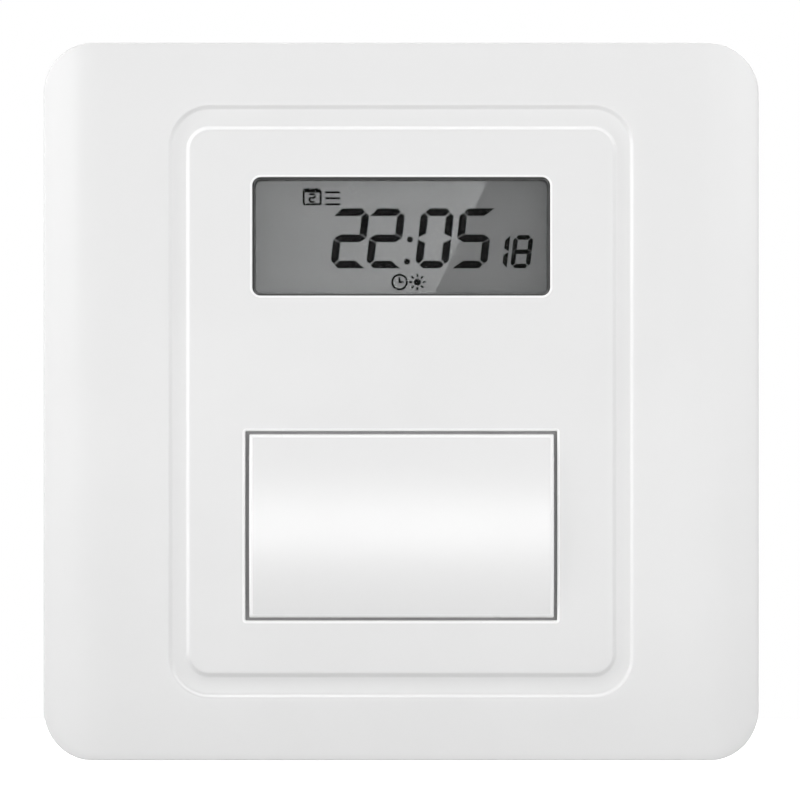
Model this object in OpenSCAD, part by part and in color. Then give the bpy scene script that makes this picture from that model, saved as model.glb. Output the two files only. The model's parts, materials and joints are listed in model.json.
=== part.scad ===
// Timer light switch for a square wall box: a snap-on face plate with a display window and a
// drop-down door, eight setting keys behind the door, and a rear housing with the boards.
// Millimetres. The origin is the centre of the wall plane. +Z is up, and the front faces -Y.

/* [Face plate] */
// Width of the face plate
plate_w = 86; // [82:0.5:92]
// Height of the face plate
plate_h = 86; // [82:0.5:92]
// Distance from the wall to the flat front
plate_t = 9.5; // [9:0.1:12]
// Corner radius of the face plate
plate_r = 6; // [4:0.5:9]
// Thickness of the front wall
front_wall = 2; // [1.8:0.1:2.4]
// Thickness of the rim
rim_wall = 2.4; // [2:0.1:3]
// Width of the curved band at the left and right edges
bow_w = 7; // [4:0.5:9]
// How far the curved band falls back at the edge
bow_drop = 1.9; // [1:0.1:2.4]
// Rounding of the top and bottom front edges
edge_r = 0.8; // [0.4:0.1:1.4]
// Width of the pry notch in the lower rim
pry_w = 10; // [6:1:14]
// Depth of the pry notch from the wall
pry_d = 1.6; // [1:0.1:2.4]

/* [Raised panel] */
// Width of the raised centre panel
panel_w = 51.8; // [46:0.2:56]
// Height of the raised centre panel
panel_h = 66.2; // [62:0.2:70]
// Corner radius of the raised centre panel
panel_r = 2.6; // [1.5:0.1:4]
// Width of the channel at the panel's left and right
channel_side = 2; // [1.4:0.1:3]
// Width of the channel above and below the panel
channel_end = 2.4; // [1.4:0.1:3]
// Depth of the channel
channel_depth = 0.5; // [0.3:0.05:0.7]
// Slope of the channel's walls, measured across
channel_slope = 0.6; // [0.2:0.05:0.7]

/* [Display] */
// Width of the window opening
window_w = 35.7; // [32:0.1:38]
// Height of the window opening
window_h = 14.2; // [12:0.2:15]
// Corner radius of the window opening
window_r = 1; // [0.6:0.1:1.6]
// Height of the window's centre above the plate's centre
window_z = 19.8; // [17:0.2:20.4]
// Bevel on the front edge of the window opening
window_bevel = 0.4; // [0.2:0.05:0.6]
// Distance from the front face to the lens
lens_recess = 0.8; // [0.7:0.05:1.2]
// Thickness of the clear lens
lens_t = 1.2; // [0.8:0.1:1.6]
// Width of the ledge that the lens is bonded to
lens_lap = 1.6; // [1:0.1:2]
// Thickness of each display glass
glass_t = 1.1; // [0.7:0.1:1.4]
// Thickness of the polarising film and of the reflector
film_t = 0.2; // [0.1:0.05:0.3]
// How far the display glass passes the window opening
glass_lap = 2; // [1.6:0.1:2.4]
// Width of the contact ledge on the front glass
ledge_w = 1.6; // [1.2:0.1:1.8]
// Wall of the display holder
holder_wall = 1.4; // [1.3:0.1:1.8]
// Thickness of the display holder's front lip
lip_t = 0.6; // [0.4:0.1:0.8]

/* [Door] */
// Width of the door
door_w = 36.6; // [33:0.1:38]
// Height of the door
door_h = 22; // [20.6:0.2:23]
// Height of the door's centre, below the plate's centre
door_z = -14.9; // [-15.6:0.1:-13.6]
// Gap round the door
door_gap = 0.35; // [0.35:0.05:0.6]
// Thickness of the door at its edges
door_t = 1.6; // [1.5:0.1:1.8]
// How far the middle of the door stands proud
door_crown = 0.8; // [0.4:0.1:1.2]
// Bevel on the door's front edges
door_edge = 0.3; // [0.25:0.05:0.4]
// Distance from the front face to the thin lip that backs the gap
lip_depth = 0.6; // [0.5:0.05:0.7]
// Wall of the door behind its crown
door_wall = 1.5; // [1.3:0.1:1.7]
// Radius of the door's hinge pins
pin_r = 0.5; // [0.4:0.05:0.6]
// How far a hinge pin reaches into the plate
pin_reach = 0.9; // [0.7:0.1:1.4]
// Depth of the hinge axis behind the front face
hinge_depth = 1; // [0.9:0.05:1.1]
// Height of the hinge axis above the door's lower edge
hinge_rise = 1.5; // [1.4:0.05:1.8]
// Wall of the skirt round the door opening
skirt_wall = 1.5; // [1.2:0.1:2]

/* [Keys] */
// Number of keys in a row
key_columns = 4; // [2:1:4]
// Number of rows of keys
key_rows = 2; // [1:1:2]
// Distance between key columns
key_pitch_x = 8.8; // [8:0.1:9.2]
// Distance between key rows
key_pitch_z = 8; // [7.6:0.1:8.4]
// Width of a key
key_w = 5.8; // [4.6:0.1:6.2]
// Height of a key
key_h = 4; // [3.6:0.1:4.6]
// How far a key stands out of the key panel
key_proud = 0.7; // [0.4:0.1:0.9]
// Travel of a key
key_travel = 0.3; // [0.2:0.05:0.4]
// Thickness of the key panel
key_panel_t = 1.2; // [1:0.1:1.6]
// Width of a tact switch body
switch_w = 6; // [5:0.1:6.2]
// Height of a tact switch body
switch_t = 3.5; // [3:0.1:4]
// Height of a tact switch with its plunger
switch_top = 4.3; // [4.2:0.1:5]

/* [Boards and housing] */
// Thickness of both circuit boards
board_t = 1.6; // [1.2:0.1:2]
// Space between the two circuit boards
board_gap = 14.4; // [14:0.1:18]
// Wall of the rear housing
housing_wall = 1.5; // [1.2:0.1:2]
// Chamfer on the rear edges of the housing
housing_edge = 1; // [0.5:0.1:1.1]
// Thickness of the mounting flange
flange_t = 2.2; // [2:0.1:2.6]
// Reach of the ribs that brace the flange against the housing
brace = 2.5; // [1.5:0.1:3]
// Distance between the wall box screws
box_screw_pitch = 60.3; // [60:0.1:62]
// Width of a wall box screw slot
slot_w = 4.6; // [4.2:0.1:5]
// Length of a wall box screw slot
slot_l = 8; // [6:0.1:8.4]
// Distance between terminals
terminal_pitch = 7.62; // [7:0.1:8]
// Depth of the terminal block
terminal_d = 12; // [11.4:0.1:14]
// Width of a wire entry
wire_w = 3.6; // [3:0.1:3.8]

/* [Hidden] */
$fn = 64;

// Clearances
fit = 0.15;          // between a piece and the pocket that holds it
pin_fit = 0.05;      // round a pin, plunger or stud
stack_gap = 0.3;     // between pieces stacked one behind the other
rim_fit = 0.3;       // between the flange and the rim, and the boards and the housing
sink = 0.4;          // how far a feature is rooted in the wall that carries it
over = 1;            // how far a cut runs past the face that it opens

// Levels along Y, from the front to the wall
front_y = -plate_t;
wall_y = front_y + front_wall;
lens_y = front_y + lens_recess;
holder_y = max(wall_y, lens_y + lens_t) + stack_gap;
glass_y = holder_y + lip_t;
rear_glass_y = glass_y + glass_t;
reflector_y = rear_glass_y + glass_t;

// The heel of the door swings round the hinge axis, and the key panel lies behind that swing
hinge_y = front_y + hinge_depth;
hinge_z = door_z - door_h / 2 + hinge_rise;
heel_r = sqrt(pow(door_t - hinge_depth, 2) + pow(hinge_rise, 2));
heel_room = 0.45;
floor_y = ceil(10 * (hinge_y + heel_r + heel_room)) / 10;
floor_back_y = floor_y + key_panel_t;
skirt_y = floor_y - stack_gap;

// The keys stand on the tact switches, which set the board's place
key_lip_t = 0.6;
key_lip_w = 0.5;
key_lip_gap = 0.1;   // between a key's lip and the key panel at rest
key_lip_y = floor_back_y + key_lip_gap;
key_foot = 0.2;
plunger_y = key_lip_y + key_lip_t + key_foot;
board_y = plunger_y + switch_top;
board_back_y = board_y + board_t;
power_y = board_back_y + board_gap;
power_back_y = power_y + board_t;
driver_gap = 1;
rear_in_y = power_back_y + terminal_d + driver_gap;
rear_y = rear_in_y + housing_wall;

// Door, window and display sizes
opening_w = door_w + 2 * door_gap;
opening_h = door_h + 2 * door_gap;
opening_r = 0.3;
door_rim = 1.6;      // width of the rim round the hollow in the door's back
lip_side = 0.3;      // thickness of the lip behind the gap
lip_fit = 0.1;       // between the lip and the opening, at the top and the sides
heel_fit = 0.2;      // between the lip and the opening at the bottom, where the door swings
catch_r = 0.8;       // snap bumps near the door's upper corners
catch_drop = 3;      // from the door's upper edge to a snap bump
pin_snap = 0.1;      // how much narrower than the pin the way into its socket is, per side
crown_r = (pow(door_h / 2, 2) + pow(door_crown, 2)) / (2 * door_crown);
crown_y = front_y - door_crown + crown_r;
crown_fn = 256;
lens_w = window_w + 2 * lens_lap;
lens_h = window_h + 2 * lens_lap;
glass_w = window_w + 2 * glass_lap;
glass_h = window_h + 2 * glass_lap;
holder_w = glass_w + 2 * (fit + holder_wall);
holder_end = 1;      // wall of the holder above and below the glass
holder_h = glass_h + 2 * (fit + holder_end);
holder_r = 1;
view_margin = 1.2;   // how far the holder's mouth passes the window opening
peg_r = 0.6;         // pegs of the holder, riveted over behind the control board
peg_head_r = 1;
peg_head_t = 0.6;
holder_pegs = [for (side = [-1, 1], end = [-1, 1])
    [side * (holder_w / 2 - holder_wall / 2), window_z + end * holder_h / 4]];

// Key panel and keys
key_panel_lap = 2.6;
key_panel_w = opening_w + 2 * key_panel_lap;
key_panel_h = opening_h + 2 * (key_panel_lap - sink);
key_panel_post_in = 2.2;
key_panel_wall = 1.2;
key_panel_r = 1.5;
key_panel_inner_r = 0.8;
key_rise = 0.9;      // the middle of the keys lies above the middle of the door
key_mid_z = door_z + key_rise;
key_count = key_columns * key_rows;
keys = [for (row = [0:key_rows - 1], column = [0:key_columns - 1])
    [(column - (key_columns - 1) / 2) * key_pitch_x,
     key_mid_z + ((key_rows - 1) / 2 - row) * key_pitch_z]];
key_r = 1.2;
key_bevel = 0.25;
plunger_r = 1.75;

// Boards, housing and flange
board_margin = 1.65;
board_r = 1.5;
board_w = max(holder_w, key_panel_w) + 2 * board_margin;
board_h = 2 * max(window_z + holder_h / 2, key_panel_h / 2 - door_z) + 2 * fit;
cavity_w = board_w + 2 * rim_fit;
cavity_h = board_h + 2 * rim_fit;
housing_w = cavity_w + 2 * housing_wall;
housing_h = cavity_h + 2 * housing_wall;
housing_r = 3;
flange_w = plate_w - 2 * (rim_wall + rim_fit);
flange_h = plate_h - 2 * (rim_wall + rim_fit);
flange_r = max(plate_r - rim_wall - rim_fit, 0.5);

brace_t = 1.2;
brace_z = 18;

// Posts and screws
post_r = 2.7;
post_in = 2.2;       // from a board's edge to a post's axis
board_post_z = ((window_z - holder_h / 2) + (door_z + key_panel_h / 2)) / 2;
board_posts = [for (side = [-1, 1]) [side * (board_w / 2 - post_in), board_post_z]];
power_posts = [for (side = [-1, 1], end = [-1, 1])
    [side * (board_w / 2 - post_in), end * (board_h / 2 - post_in)]];
key_panel_posts = [for (side = [-1, 1], end = [-1, 1])
    [side * (key_panel_w / 2 - key_panel_post_in),
     door_z + end * (key_panel_h / 2 - key_panel_post_in)]];
key_panel_post_r = 1.8;
board_screw = [1.1, 8, 1.9, 1.4];       // shank radius and length, head radius and height
key_panel_screw = [0.7, 4.6, 1.4, 1];
thread_fit = 0.03;   // between a screw's shank and its pilot hole
hole_fit = 0.2;      // between a screw's shank and the board's hole
recess_depth = 0.6;  // drive recess in a screw head
recess_l = 1.3;      // length and width of the recess, in radii of the head
recess_w = 0.3;
stop_w = 5;          // ledges that carry the board's upper and lower edges
stop_h = 2.2;
stop_d = 3;
stop_x = 12;
stops = [for (side = [-1, 1], end = [-1, 1]) [side * stop_x, end * (cavity_h + sink - stop_h) / 2]];

// Snap clips between the face plate and the flange
clip_w = 8;
clip_t = 1.4;
clip_x = 22;
clip_in = 4;         // from the flange's edge to a clip's inner face
clip_z = flange_h / 2 - clip_in;
clip_hook = 0.7;
clip_catch = 1;      // thickness of the flange in front of the hook
clip_play = 0.1;
clip_end_y = -0.4;
clip_room = 0.3;

// Terminals
terminal_count = 4;
terminal_side = 0.5;                    // side walls of the block
terminal_w = terminal_count * terminal_pitch + 2 * terminal_side;
terminal_h = 10.5;
terminal_r = 0.6;
terminal_in = 0.2;                      // from the board's lower edge to the block
terminal_z = terminal_in - board_h / 2;
terminal_xs = [for (i = [0:terminal_count - 1]) (i - (terminal_count - 1) / 2) * terminal_pitch];
clamp_w = 5.2;
clamp_t = 6.4;
clamp_h = 5.2;
clamp_foot = 1.9;                       // from the power board to a clamp
clamp_y = power_back_y + clamp_foot;
clamp_rise = 3.1;                       // from the block's lower face to a clamp's
clamp_z = terminal_z + clamp_rise;
clamp_mouth = 3.2;
clamp_lip = 1;                          // clamp wall on the board's side of the wire
clamp_tail = 1;
wire_y = clamp_y + clamp_lip + clamp_mouth / 2;
wire_depth = 9;
driver_r = 2.3;
terminal_screw = [1.5, 3.3, 2.1, 2];
terminal_screw_y = clamp_y + clamp_lip + clamp_mouth + fit;    // tip of the screw
driver_edge = 0.5;                      // countersink on the driver holes in the housing

// Board to board link
link_count = 6;
link_pitch = 2.54;
link_drop = 2.4;     // from the boards' upper edges to the link
link_z = board_h / 2 - link_drop;
link_w = link_count * link_pitch;
link_t = 2.5;
link_pin = 0.64;
link_socket_d = 8.5;
link_reach = 5;      // how far a pin enters the socket
link_tail = 0.8;     // how far a pin passes the power board
link_xs = [for (i = [0:link_count - 1]) (i - (link_count - 1) / 2) * link_pitch];

// Parts on the boards. A drop is the way down from the upper edge, a rise is up from the lower edge
coin_r = 10;
coin_t = 3.2;
coin_base = 0.8;     // height of the coin cell's narrow side
coin_step = 1.2;
coin_drop = 14.7;
coin_z = board_h / 2 - coin_drop;
strap_w = 6;
strap_t = 0.4;
chip_w = 10;
chip_t = 1.6;
chip_r = 0.3;
chip_edge = 0.2;
chip_lift = 0.1;     // between the chip's body and the board
chip_leads = 11;     // on each side
chip_pitch = 0.8;
chip_lead = [0.35, 2, 0.3];     // width, length and thickness of a lead
chip_rise = 6.2;
chip_z = chip_rise - board_h / 2;
crystal_r = 1;
crystal_l = 6;
crystal_x = 12;
part_r = 0.6;        // corners and chamfer of the moulded parts
part_edge = 0.4;
relay_size = [18.5, 12.5, 10.5];
relay_x = -11;
relay_rise = 18.7;
relay_at = [relay_x, relay_rise - board_h / 2];
film_size = [18, 13, 8];
film_x = 10.4;
film_rise = 18.2;
film_at = [film_x, film_rise - board_h / 2];
bridge_size = [8.5, 3.2, 5.5];
bridge_x = -9;
bridge_rise = 10;
bridge_at = [bridge_x, bridge_rise - board_h / 2];
can_r = 4;
can_t = 12;
can_crimp = [2, 1, 0.5];        // place, width and depth of the groove round the can
can_x = 9;
can_rise = 28.7;
can_at = [can_x, can_rise - board_h / 2];
varistor_r = 4.5;
varistor_t = 4;
varistor_x = -9;
varistor_rise = 28.7;
varistor_at = [varistor_x, varistor_rise - board_h / 2];
fuse_r = 1.8;
fuse_waist_r = 1.5;
fuse_l = 10;
fuse_cap = 3;        // length of the resistor's end caps
fuse_x = 9;
fuse_rise = 9;
fuse_at = [fuse_x, fuse_rise - board_h / 2];
stand_off = 0.5;     // lead length below a radial part
can_lead = 0.6;
power_lead = 0.8;

// Shared shapes

// Rounded rectangle about the origin
module round_rect(w, h, r) {
    square([w - 2 * r, h], center = true);
    square([w, h - 2 * r], center = true);
    for (x = [-1, 1], y = [-1, 1])
        translate([x * (w / 2 - r), y * (h / 2 - r)]) circle(r);
}

// Draws a flat shape in X and Z, and gives it depth from y0 to y1
module deep(y0, y1) {
    translate([0, y1, 0]) rotate([90, 0, 0]) linear_extrude(y1 - y0) children();
}

// Draws a flat shape in Y and Z, and gives it length along X
module long(length) {
    rotate([90, 0, 90]) linear_extrude(length, center = true) children();
}

module slab(w, h, r, y0, y1) {
    deep(y0, y1) round_rect(w, h, r);
}

module block(w, h, y0, y1) {
    deep(y0, y1) square([w, h], center = true);
}

module rod_y(r, y0, y1) {
    translate([0, y0, 0]) rotate([-90, 0, 0]) cylinder(r = r, h = y1 - y0);
}

module rod_x(r, x0, x1) {
    translate([x0, 0, 0]) rotate([0, 90, 0]) cylinder(r = r, h = x1 - x0);
}

module at(point) {
    translate([point[0], 0, point[1]]) children();
}

// Turns a shape round, front to back, about the plane at y
module facing_back(y) {
    translate([0, 2 * y, 0]) mirror([0, 1, 0]) children();
}

// Rounded slab that narrows by inset on every side between y0 and y1
module tapered_slab(w, h, r, inset, y0, y1) {
    linear_extrude(h - 2 * r, center = true)
        polygon([[-w / 2, y0], [w / 2, y0], [w / 2 - inset, y1], [inset - w / 2, y1]]);
    long(w - 2 * r)
        polygon([[y0, -h / 2], [y0, h / 2], [y1, h / 2 - inset], [y1, inset - h / 2]]);
    for (x = [-1, 1], z = [-1, 1])
        translate([x * (w / 2 - r), y0, z * (h / 2 - r)]) rotate([-90, 0, 0])
            cylinder(r1 = r, r2 = r - inset, h = y1 - y0);
}

// Screw along +Y with the underside of its head at y
module screw(sizes, y) {
    difference() {
        union() {
            rod_y(sizes[0], y - sizes[3] / 4, y + sizes[1]);
            rod_y(sizes[2], y - sizes[3], y);
        }
        for (turn = [0, 90])
            rotate([0, turn, 0])
                block(sizes[2] * recess_l, sizes[2] * recess_w,
                    y - sizes[3] - over, y - sizes[3] + recess_depth);
    }
}

// Face plate

module bow_profile() {
    flat_w = plate_w - 2 * bow_w;
    bow_r = (pow(bow_w, 2) + pow(bow_drop, 2)) / (2 * bow_drop);
    translate([-flat_w / 2, front_y]) square([flat_w, plate_t]);
    for (side = [-1, 1])
        intersection() {
            translate([side * flat_w / 2, front_y + bow_r]) circle(bow_r);
            translate([side * plate_w / 2, front_y / 2]) square([plate_w, plate_t], center = true);
        }
}

module edge_profile() {
    translate([front_y / 2, 0]) square([plate_t, plate_h - 2 * edge_r], center = true);
    translate([(front_y + edge_r) / 2, 0]) square([plate_t - edge_r, plate_h], center = true);
    for (end = [-1, 1])
        translate([front_y + edge_r, end * (plate_h / 2 - edge_r)]) circle(edge_r);
}

module plate_blank() {
    intersection() {
        linear_extrude(plate_h + over, center = true) bow_profile();
        long(plate_w + over) edge_profile();
        slab(plate_w, plate_h, plate_r, front_y - over, over);
    }
}

module channel() {
    outer_w = panel_w + 2 * channel_side;
    outer_h = panel_h + 2 * channel_end;
    outer_r = panel_r + (channel_side + channel_end) / 2;
    floor_of_channel = front_y + channel_depth;
    difference() {
        tapered_slab(outer_w, outer_h, outer_r, channel_slope, front_y, floor_of_channel);
        facing_back(front_y + channel_depth / 2)
            tapered_slab(panel_w, panel_h, panel_r, channel_slope, front_y, floor_of_channel);
    }
}

module window_cut() {
    at([0, window_z]) {
        slab(window_w, window_h, window_r, front_y - over, wall_y + over);
        tapered_slab(window_w + 2 * window_bevel, window_h + 2 * window_bevel,
            window_r + window_bevel, window_bevel, front_y, front_y + window_bevel);
        slab(lens_w + 2 * fit, lens_h + 2 * fit, window_r, lens_y, wall_y + over);
    }
}

module hinge_sockets() {
    slot_h = 2 * (pin_r - pin_snap);
    for (side = [-1, 1]) {
        mouth_x = side * opening_w / 2;
        end_x = side * (door_w / 2 + door_gap + pin_reach + fit);
        translate([0, hinge_y, hinge_z])
            rod_x(pin_r + pin_fit, min(mouth_x, end_x) - (side > 0 ? sink : 0),
                max(mouth_x, end_x) + (side > 0 ? 0 : sink));
        at([(mouth_x + end_x) / 2, hinge_z])
            block(abs(end_x - mouth_x), slot_h, hinge_y, skirt_y + over);
    }
}

module plate_clip() {
    hook_y = clip_catch + clip_play - flange_t;
    arm_y = wall_y - sink;
    long(clip_w)
        polygon([[arm_y, 0], [clip_end_y, 0], [clip_end_y, clip_t],
                 [hook_y, clip_t + clip_hook], [hook_y, clip_t], [arm_y, clip_t]]);
}

module face_plate() {
    color("white") difference() {
        union() {
            difference() {
                plate_blank();
                slab(plate_w - 2 * rim_wall, plate_h - 2 * rim_wall, max(plate_r - rim_wall, 0.5),
                    wall_y, over);
                channel();
            }
            at([0, door_z])
                slab(opening_w + 2 * skirt_wall, opening_h + 2 * skirt_wall, opening_r + skirt_wall,
                    wall_y - sink, skirt_y);
            for (side = [-1, 1], end = [0, 1])
                mirror([0, 0, end]) translate([side * clip_x, 0, clip_z]) plate_clip();
        }
        window_cut();
        at([0, door_z]) slab(opening_w, opening_h, opening_r, front_y - over, skirt_y + over);
        hinge_sockets();
        translate([0, 0, -plate_h / 2]) block(pry_w, 3 * rim_wall, -pry_d, over);
    }
}

// Display

module window_lens() {
    color([0.85, 0.9, 0.9, 0.35]) at([0, window_z])
        slab(lens_w, lens_h, window_r, lens_y, lens_y + lens_t);
}

module lcd_front_polariser() {
    color("dimgray") at([0, window_z])
        block(window_w + view_margin, window_h + view_margin, glass_y - film_t, glass_y);
}

module lcd_front_glass() {
    color([0.6, 0.65, 0.6, 0.6]) at([0, window_z])
        block(glass_w, glass_h, glass_y, rear_glass_y);
}

module lcd_rear_glass() {
    color([0.6, 0.65, 0.6, 0.6]) at([0, window_z])
        block(glass_w, glass_h - 2 * ledge_w, rear_glass_y, reflector_y);
}

module lcd_reflector() {
    color("silver") at([0, window_z])
        block(window_w + view_margin, window_h + view_margin - ledge_w,
            reflector_y, reflector_y + film_t);
}

module lcd_holder() {
    color("whitesmoke") {
        at([0, window_z]) difference() {
            slab(holder_w, holder_h, holder_r, holder_y, board_y);
            block(window_w + 2 * view_margin, window_h + 2 * view_margin,
                holder_y - over, glass_y + over);
            block(glass_w + 2 * fit, glass_h + 2 * fit, glass_y, board_y + over);
        }
        for (peg = holder_pegs)
            at(peg) {
                rod_y(peg_r, board_y - sink, board_back_y + sink);
                rod_y(peg_head_r, board_back_y, board_back_y + peg_head_t);
            }
    }
}

module lcd_contact_strips() {
    color("pink") for (end = [-1, 1])
        at([0, window_z + end * (glass_h / 2 - ledge_w / 2)])
            block(window_w, ledge_w - 2 * fit, rear_glass_y, board_y);
}

// Door

module door_shape() {
    half = door_h / 2;
    far = door_h / 4;    // how far the bevel planes run on past the crown
    bevel_y = front_y + door_edge;
    intersection() {
        translate([0, crown_y, door_z]) {
            rod_x(crown_r, door_edge - door_w / 2, door_w / 2 - door_edge, $fn = crown_fn);
            for (side = [0, 1])
                mirror([side, 0, 0]) translate([door_w / 2 - door_edge, 0, 0]) rotate([0, 90, 0])
                    cylinder(r1 = crown_r, r2 = crown_r - door_edge, h = door_edge, $fn = crown_fn);
        }
        translate([0, 0, door_z]) long(door_w + over)
            polygon([[front_y + door_t, -half], [bevel_y, -half], [bevel_y - far, far - half],
                     [bevel_y - far, half - far], [bevel_y, half], [front_y + door_t, half]]);
    }
}

// Thin lip round the door that closes the gap from behind
module door_lip() {
    top = opening_h / 2 - lip_fit;
    bottom = heel_fit - opening_h / 2;
    lip_y = front_y + lip_depth;
    at([0, door_z + (top + bottom) / 2])
        slab(opening_w - 2 * lip_fit, top - bottom, opening_r, lip_y, lip_y + lip_side);
}

module door() {
    catch_z = door_z + door_h / 2 - catch_drop;
    hollow_h = door_h - 2 * door_rim - hinge_rise;
    color("white") {
        difference() {
            union() {
                door_shape();
                door_lip();
            }
            intersection() {
                translate([0, crown_y, door_z])
                    rod_x(crown_r - door_wall, door_rim - door_w / 2, door_w / 2 - door_rim,
                        $fn = crown_fn);
                at([0, door_z + hinge_rise / 2])
                    block(door_w, hollow_h, front_y, front_y + door_t + over);
            }
        }
        for (side = [-1, 1]) {
            root_x = side * (door_w / 2 - sink);
            tip_x = side * (door_w / 2 + door_gap + pin_reach);
            translate([0, hinge_y, hinge_z]) rod_x(pin_r, min(root_x, tip_x), max(root_x, tip_x));
            translate([side * (door_w / 2 + door_gap - catch_r - pin_fit), hinge_y, catch_z])
                sphere(catch_r);
        }
    }
}

// Key panel and keys

module key_panel() {
    mouth_w = key_w + 2 * fit;
    mouth_h = key_h + 2 * fit;
    inner_w = key_panel_w - 2 * key_panel_wall;
    inner_h = key_panel_h - 2 * key_panel_wall;
    color("gainsboro") difference() {
        union() {
            at([0, door_z]) difference() {
                slab(key_panel_w, key_panel_h, key_panel_r, floor_y, board_y);
                slab(inner_w, inner_h, key_panel_inner_r, floor_back_y, board_y + over);
            }
            for (post = key_panel_posts)
                at(post) rod_y(key_panel_post_r, floor_back_y - sink, board_y);
        }
        for (key = keys)
            at(key) slab(mouth_w, mouth_h, key_r + fit, floor_y - over, floor_back_y + over);
        for (post = key_panel_posts)
            at(post)
                rod_y(key_panel_screw[0] + thread_fit, board_back_y - key_panel_screw[1] - fit,
                    board_y + over);
    }
}

module tact_switches() {
    color("dimgray") for (key = keys)
        at(key) difference() {
            block(switch_w, switch_w, board_y - switch_t, board_y);
            rod_y(plunger_r + pin_fit, board_y - switch_t - over,
                board_y - switch_t + 2 * key_travel + sink);
        }
}

module switch_plunger(i) {
    color("black") at(keys[i])
        rod_y(plunger_r, plunger_y, board_y - switch_t + sink);
}

module key_cap(i) {
    top_y = floor_y - key_proud;
    color("silver") at(keys[i]) {
        mirror([0, 1, 0]) tapered_slab(key_w, key_h, key_r, key_bevel, -top_y - key_bevel, -top_y);
        slab(key_w, key_h, key_r, top_y + key_bevel, key_lip_y + key_lip_t);
        slab(key_w + 2 * key_lip_w, key_h + 2 * key_lip_w, key_r + key_lip_w,
            key_lip_y, key_lip_y + key_lip_t);
        rod_y(plunger_r, key_lip_y, plunger_y);
    }
}

module key_panel_screws() {
    color("silver") for (post = key_panel_posts)
        at(post) facing_back(board_back_y) screw(key_panel_screw, board_back_y);
}

// Control board

module control_board() {
    color("seagreen") difference() {
        slab(board_w, board_h, board_r, board_y, board_back_y);
        for (post = board_posts)
            at(post) rod_y(board_screw[0] + hole_fit, board_y - over, board_back_y + over);
        for (post = key_panel_posts)
            at(post) rod_y(key_panel_screw[0] + hole_fit, board_y - over, board_back_y + over);
        for (peg = holder_pegs)
            at(peg) rod_y(peg_r + pin_fit, board_y - over, board_back_y + over);
    }
}

module control_board_screws() {
    color("silver") for (post = board_posts) at(post) screw(board_screw, board_y);
}

module controller_chip() {
    color("black") at([0, chip_z]) {
        tapered_slab(chip_w, chip_w, chip_r, chip_edge, board_back_y + chip_lift, board_back_y + chip_t);
        for (turn = [0:90:270], lead = [1:chip_leads])
            rotate([0, turn, 0])
                translate([(lead - (chip_leads + 1) / 2) * chip_pitch, 0, chip_w / 2])
                    block(chip_lead[0], chip_lead[1], board_back_y, board_back_y + chip_lead[2]);
    }
}

module clock_crystal() {
    color("silver") translate([crystal_x, board_back_y + crystal_r, chip_z])
        rod_x(crystal_r, -crystal_l / 2, crystal_l / 2);
}

module coin_cell() {
    color("silver") translate([0, board_back_y, coin_z]) {
        rod_y(coin_r - coin_step, 0, coin_base);
        rod_y(coin_r, coin_base, coin_t);
    }
}

module battery_strap() {
    inner = coin_r + fit;
    top_y = board_back_y + coin_t;
    color("khaki") at([0, coin_z]) {
        block(2 * (inner + strap_t), strap_w, top_y, top_y + strap_t);
        for (side = [-1, 1])
            at([side * (inner + strap_t / 2), 0])
                block(strap_t, strap_w, board_back_y, top_y + strap_t);
    }
}

// Link between the boards

module link_socket() {
    mouth = link_pin + 2 * fit;
    color("black") at([0, link_z]) difference() {
        block(link_w, link_t, board_back_y, board_back_y + link_socket_d);
        for (x = link_xs)
            translate([x, 0, 0])
                block(mouth, mouth, board_back_y + link_socket_d - link_reach - fit,
                    board_back_y + link_socket_d + over);
    }
}

module link_header() {
    color("black") at([0, link_z]) difference() {
        block(link_w, link_t, power_y - link_t, power_y);
        for (x = link_xs)
            translate([x, 0, 0]) block(link_pin, link_pin, power_y - link_t - over, power_y + over);
    }
}

module link_pins() {
    color("gold") for (x = link_xs)
        at([x, link_z])
            block(link_pin, link_pin, board_back_y + link_socket_d - link_reach, power_back_y + link_tail);
}

// Power board

module power_board() {
    color("seagreen") difference() {
        slab(board_w, board_h, board_r, power_y, power_back_y);
        for (post = power_posts)
            at(post) rod_y(board_screw[0] + hole_fit, power_y - over, power_back_y + over);
        for (post = board_posts)
            at(post) {
                rod_y(post_r + rim_fit, power_y - over, power_back_y + over);
                translate([sign(post[0]) * post_in, 0, 0])
                    block(2 * post_in, 2 * (post_r + rim_fit), power_y - over, power_back_y + over);
            }
        for (stop = stops)
            at(stop) block(stop_w + 2 * rim_fit, stop_h + sink + 2 * rim_fit,
                power_y - over, power_back_y + over);
        for (x = link_xs)
            at([x, link_z])
                block(link_pin + 2 * fit, link_pin + 2 * fit, power_y - over, power_back_y + over);
        for (x = terminal_xs)
            at([x, clamp_z + clamp_h / 2])
                rod_y(clamp_tail / sqrt(2) + fit, power_y - over, power_back_y + over);
    }
}

module power_board_screws() {
    color("silver") for (post = power_posts) at(post) screw(board_screw, power_y);
}

// Outline across a moulded part, with its two front corners cut at 45 degrees. It runs on past
// the sides, and its cuts run on past the front by ahead
function cut_corners(w, top_y, ahead) = [
    [-w / 2 - over, power_y + over],
    [w / 2 + over, power_y + over],
    [w / 2 + over, top_y + part_edge + over],
    [w / 2 - part_edge - ahead, top_y - ahead],
    [part_edge + ahead - w / 2, top_y - ahead],
    [-w / 2 - over, top_y + part_edge + over]];

// Moulded box with chamfered top edges, standing on the front of the power board
module power_part(size, point) {
    top_y = power_y - size[1];
    at(point) intersection() {
        slab(size[0], size[2], part_r, top_y - over, power_y);
        linear_extrude(size[2] + over, center = true) polygon(cut_corners(size[0], top_y, 0));
        long(size[0] + over) polygon([for (p = cut_corners(size[2], top_y, over)) [p[1], p[0]]]);
    }
}

module relay() {
    color("royalblue") power_part(relay_size, relay_at);
}

module film_capacitor() {
    color("goldenrod") power_part(film_size, film_at);
}

module bridge_rectifier() {
    color("black") power_part(bridge_size, bridge_at);
}

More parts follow.
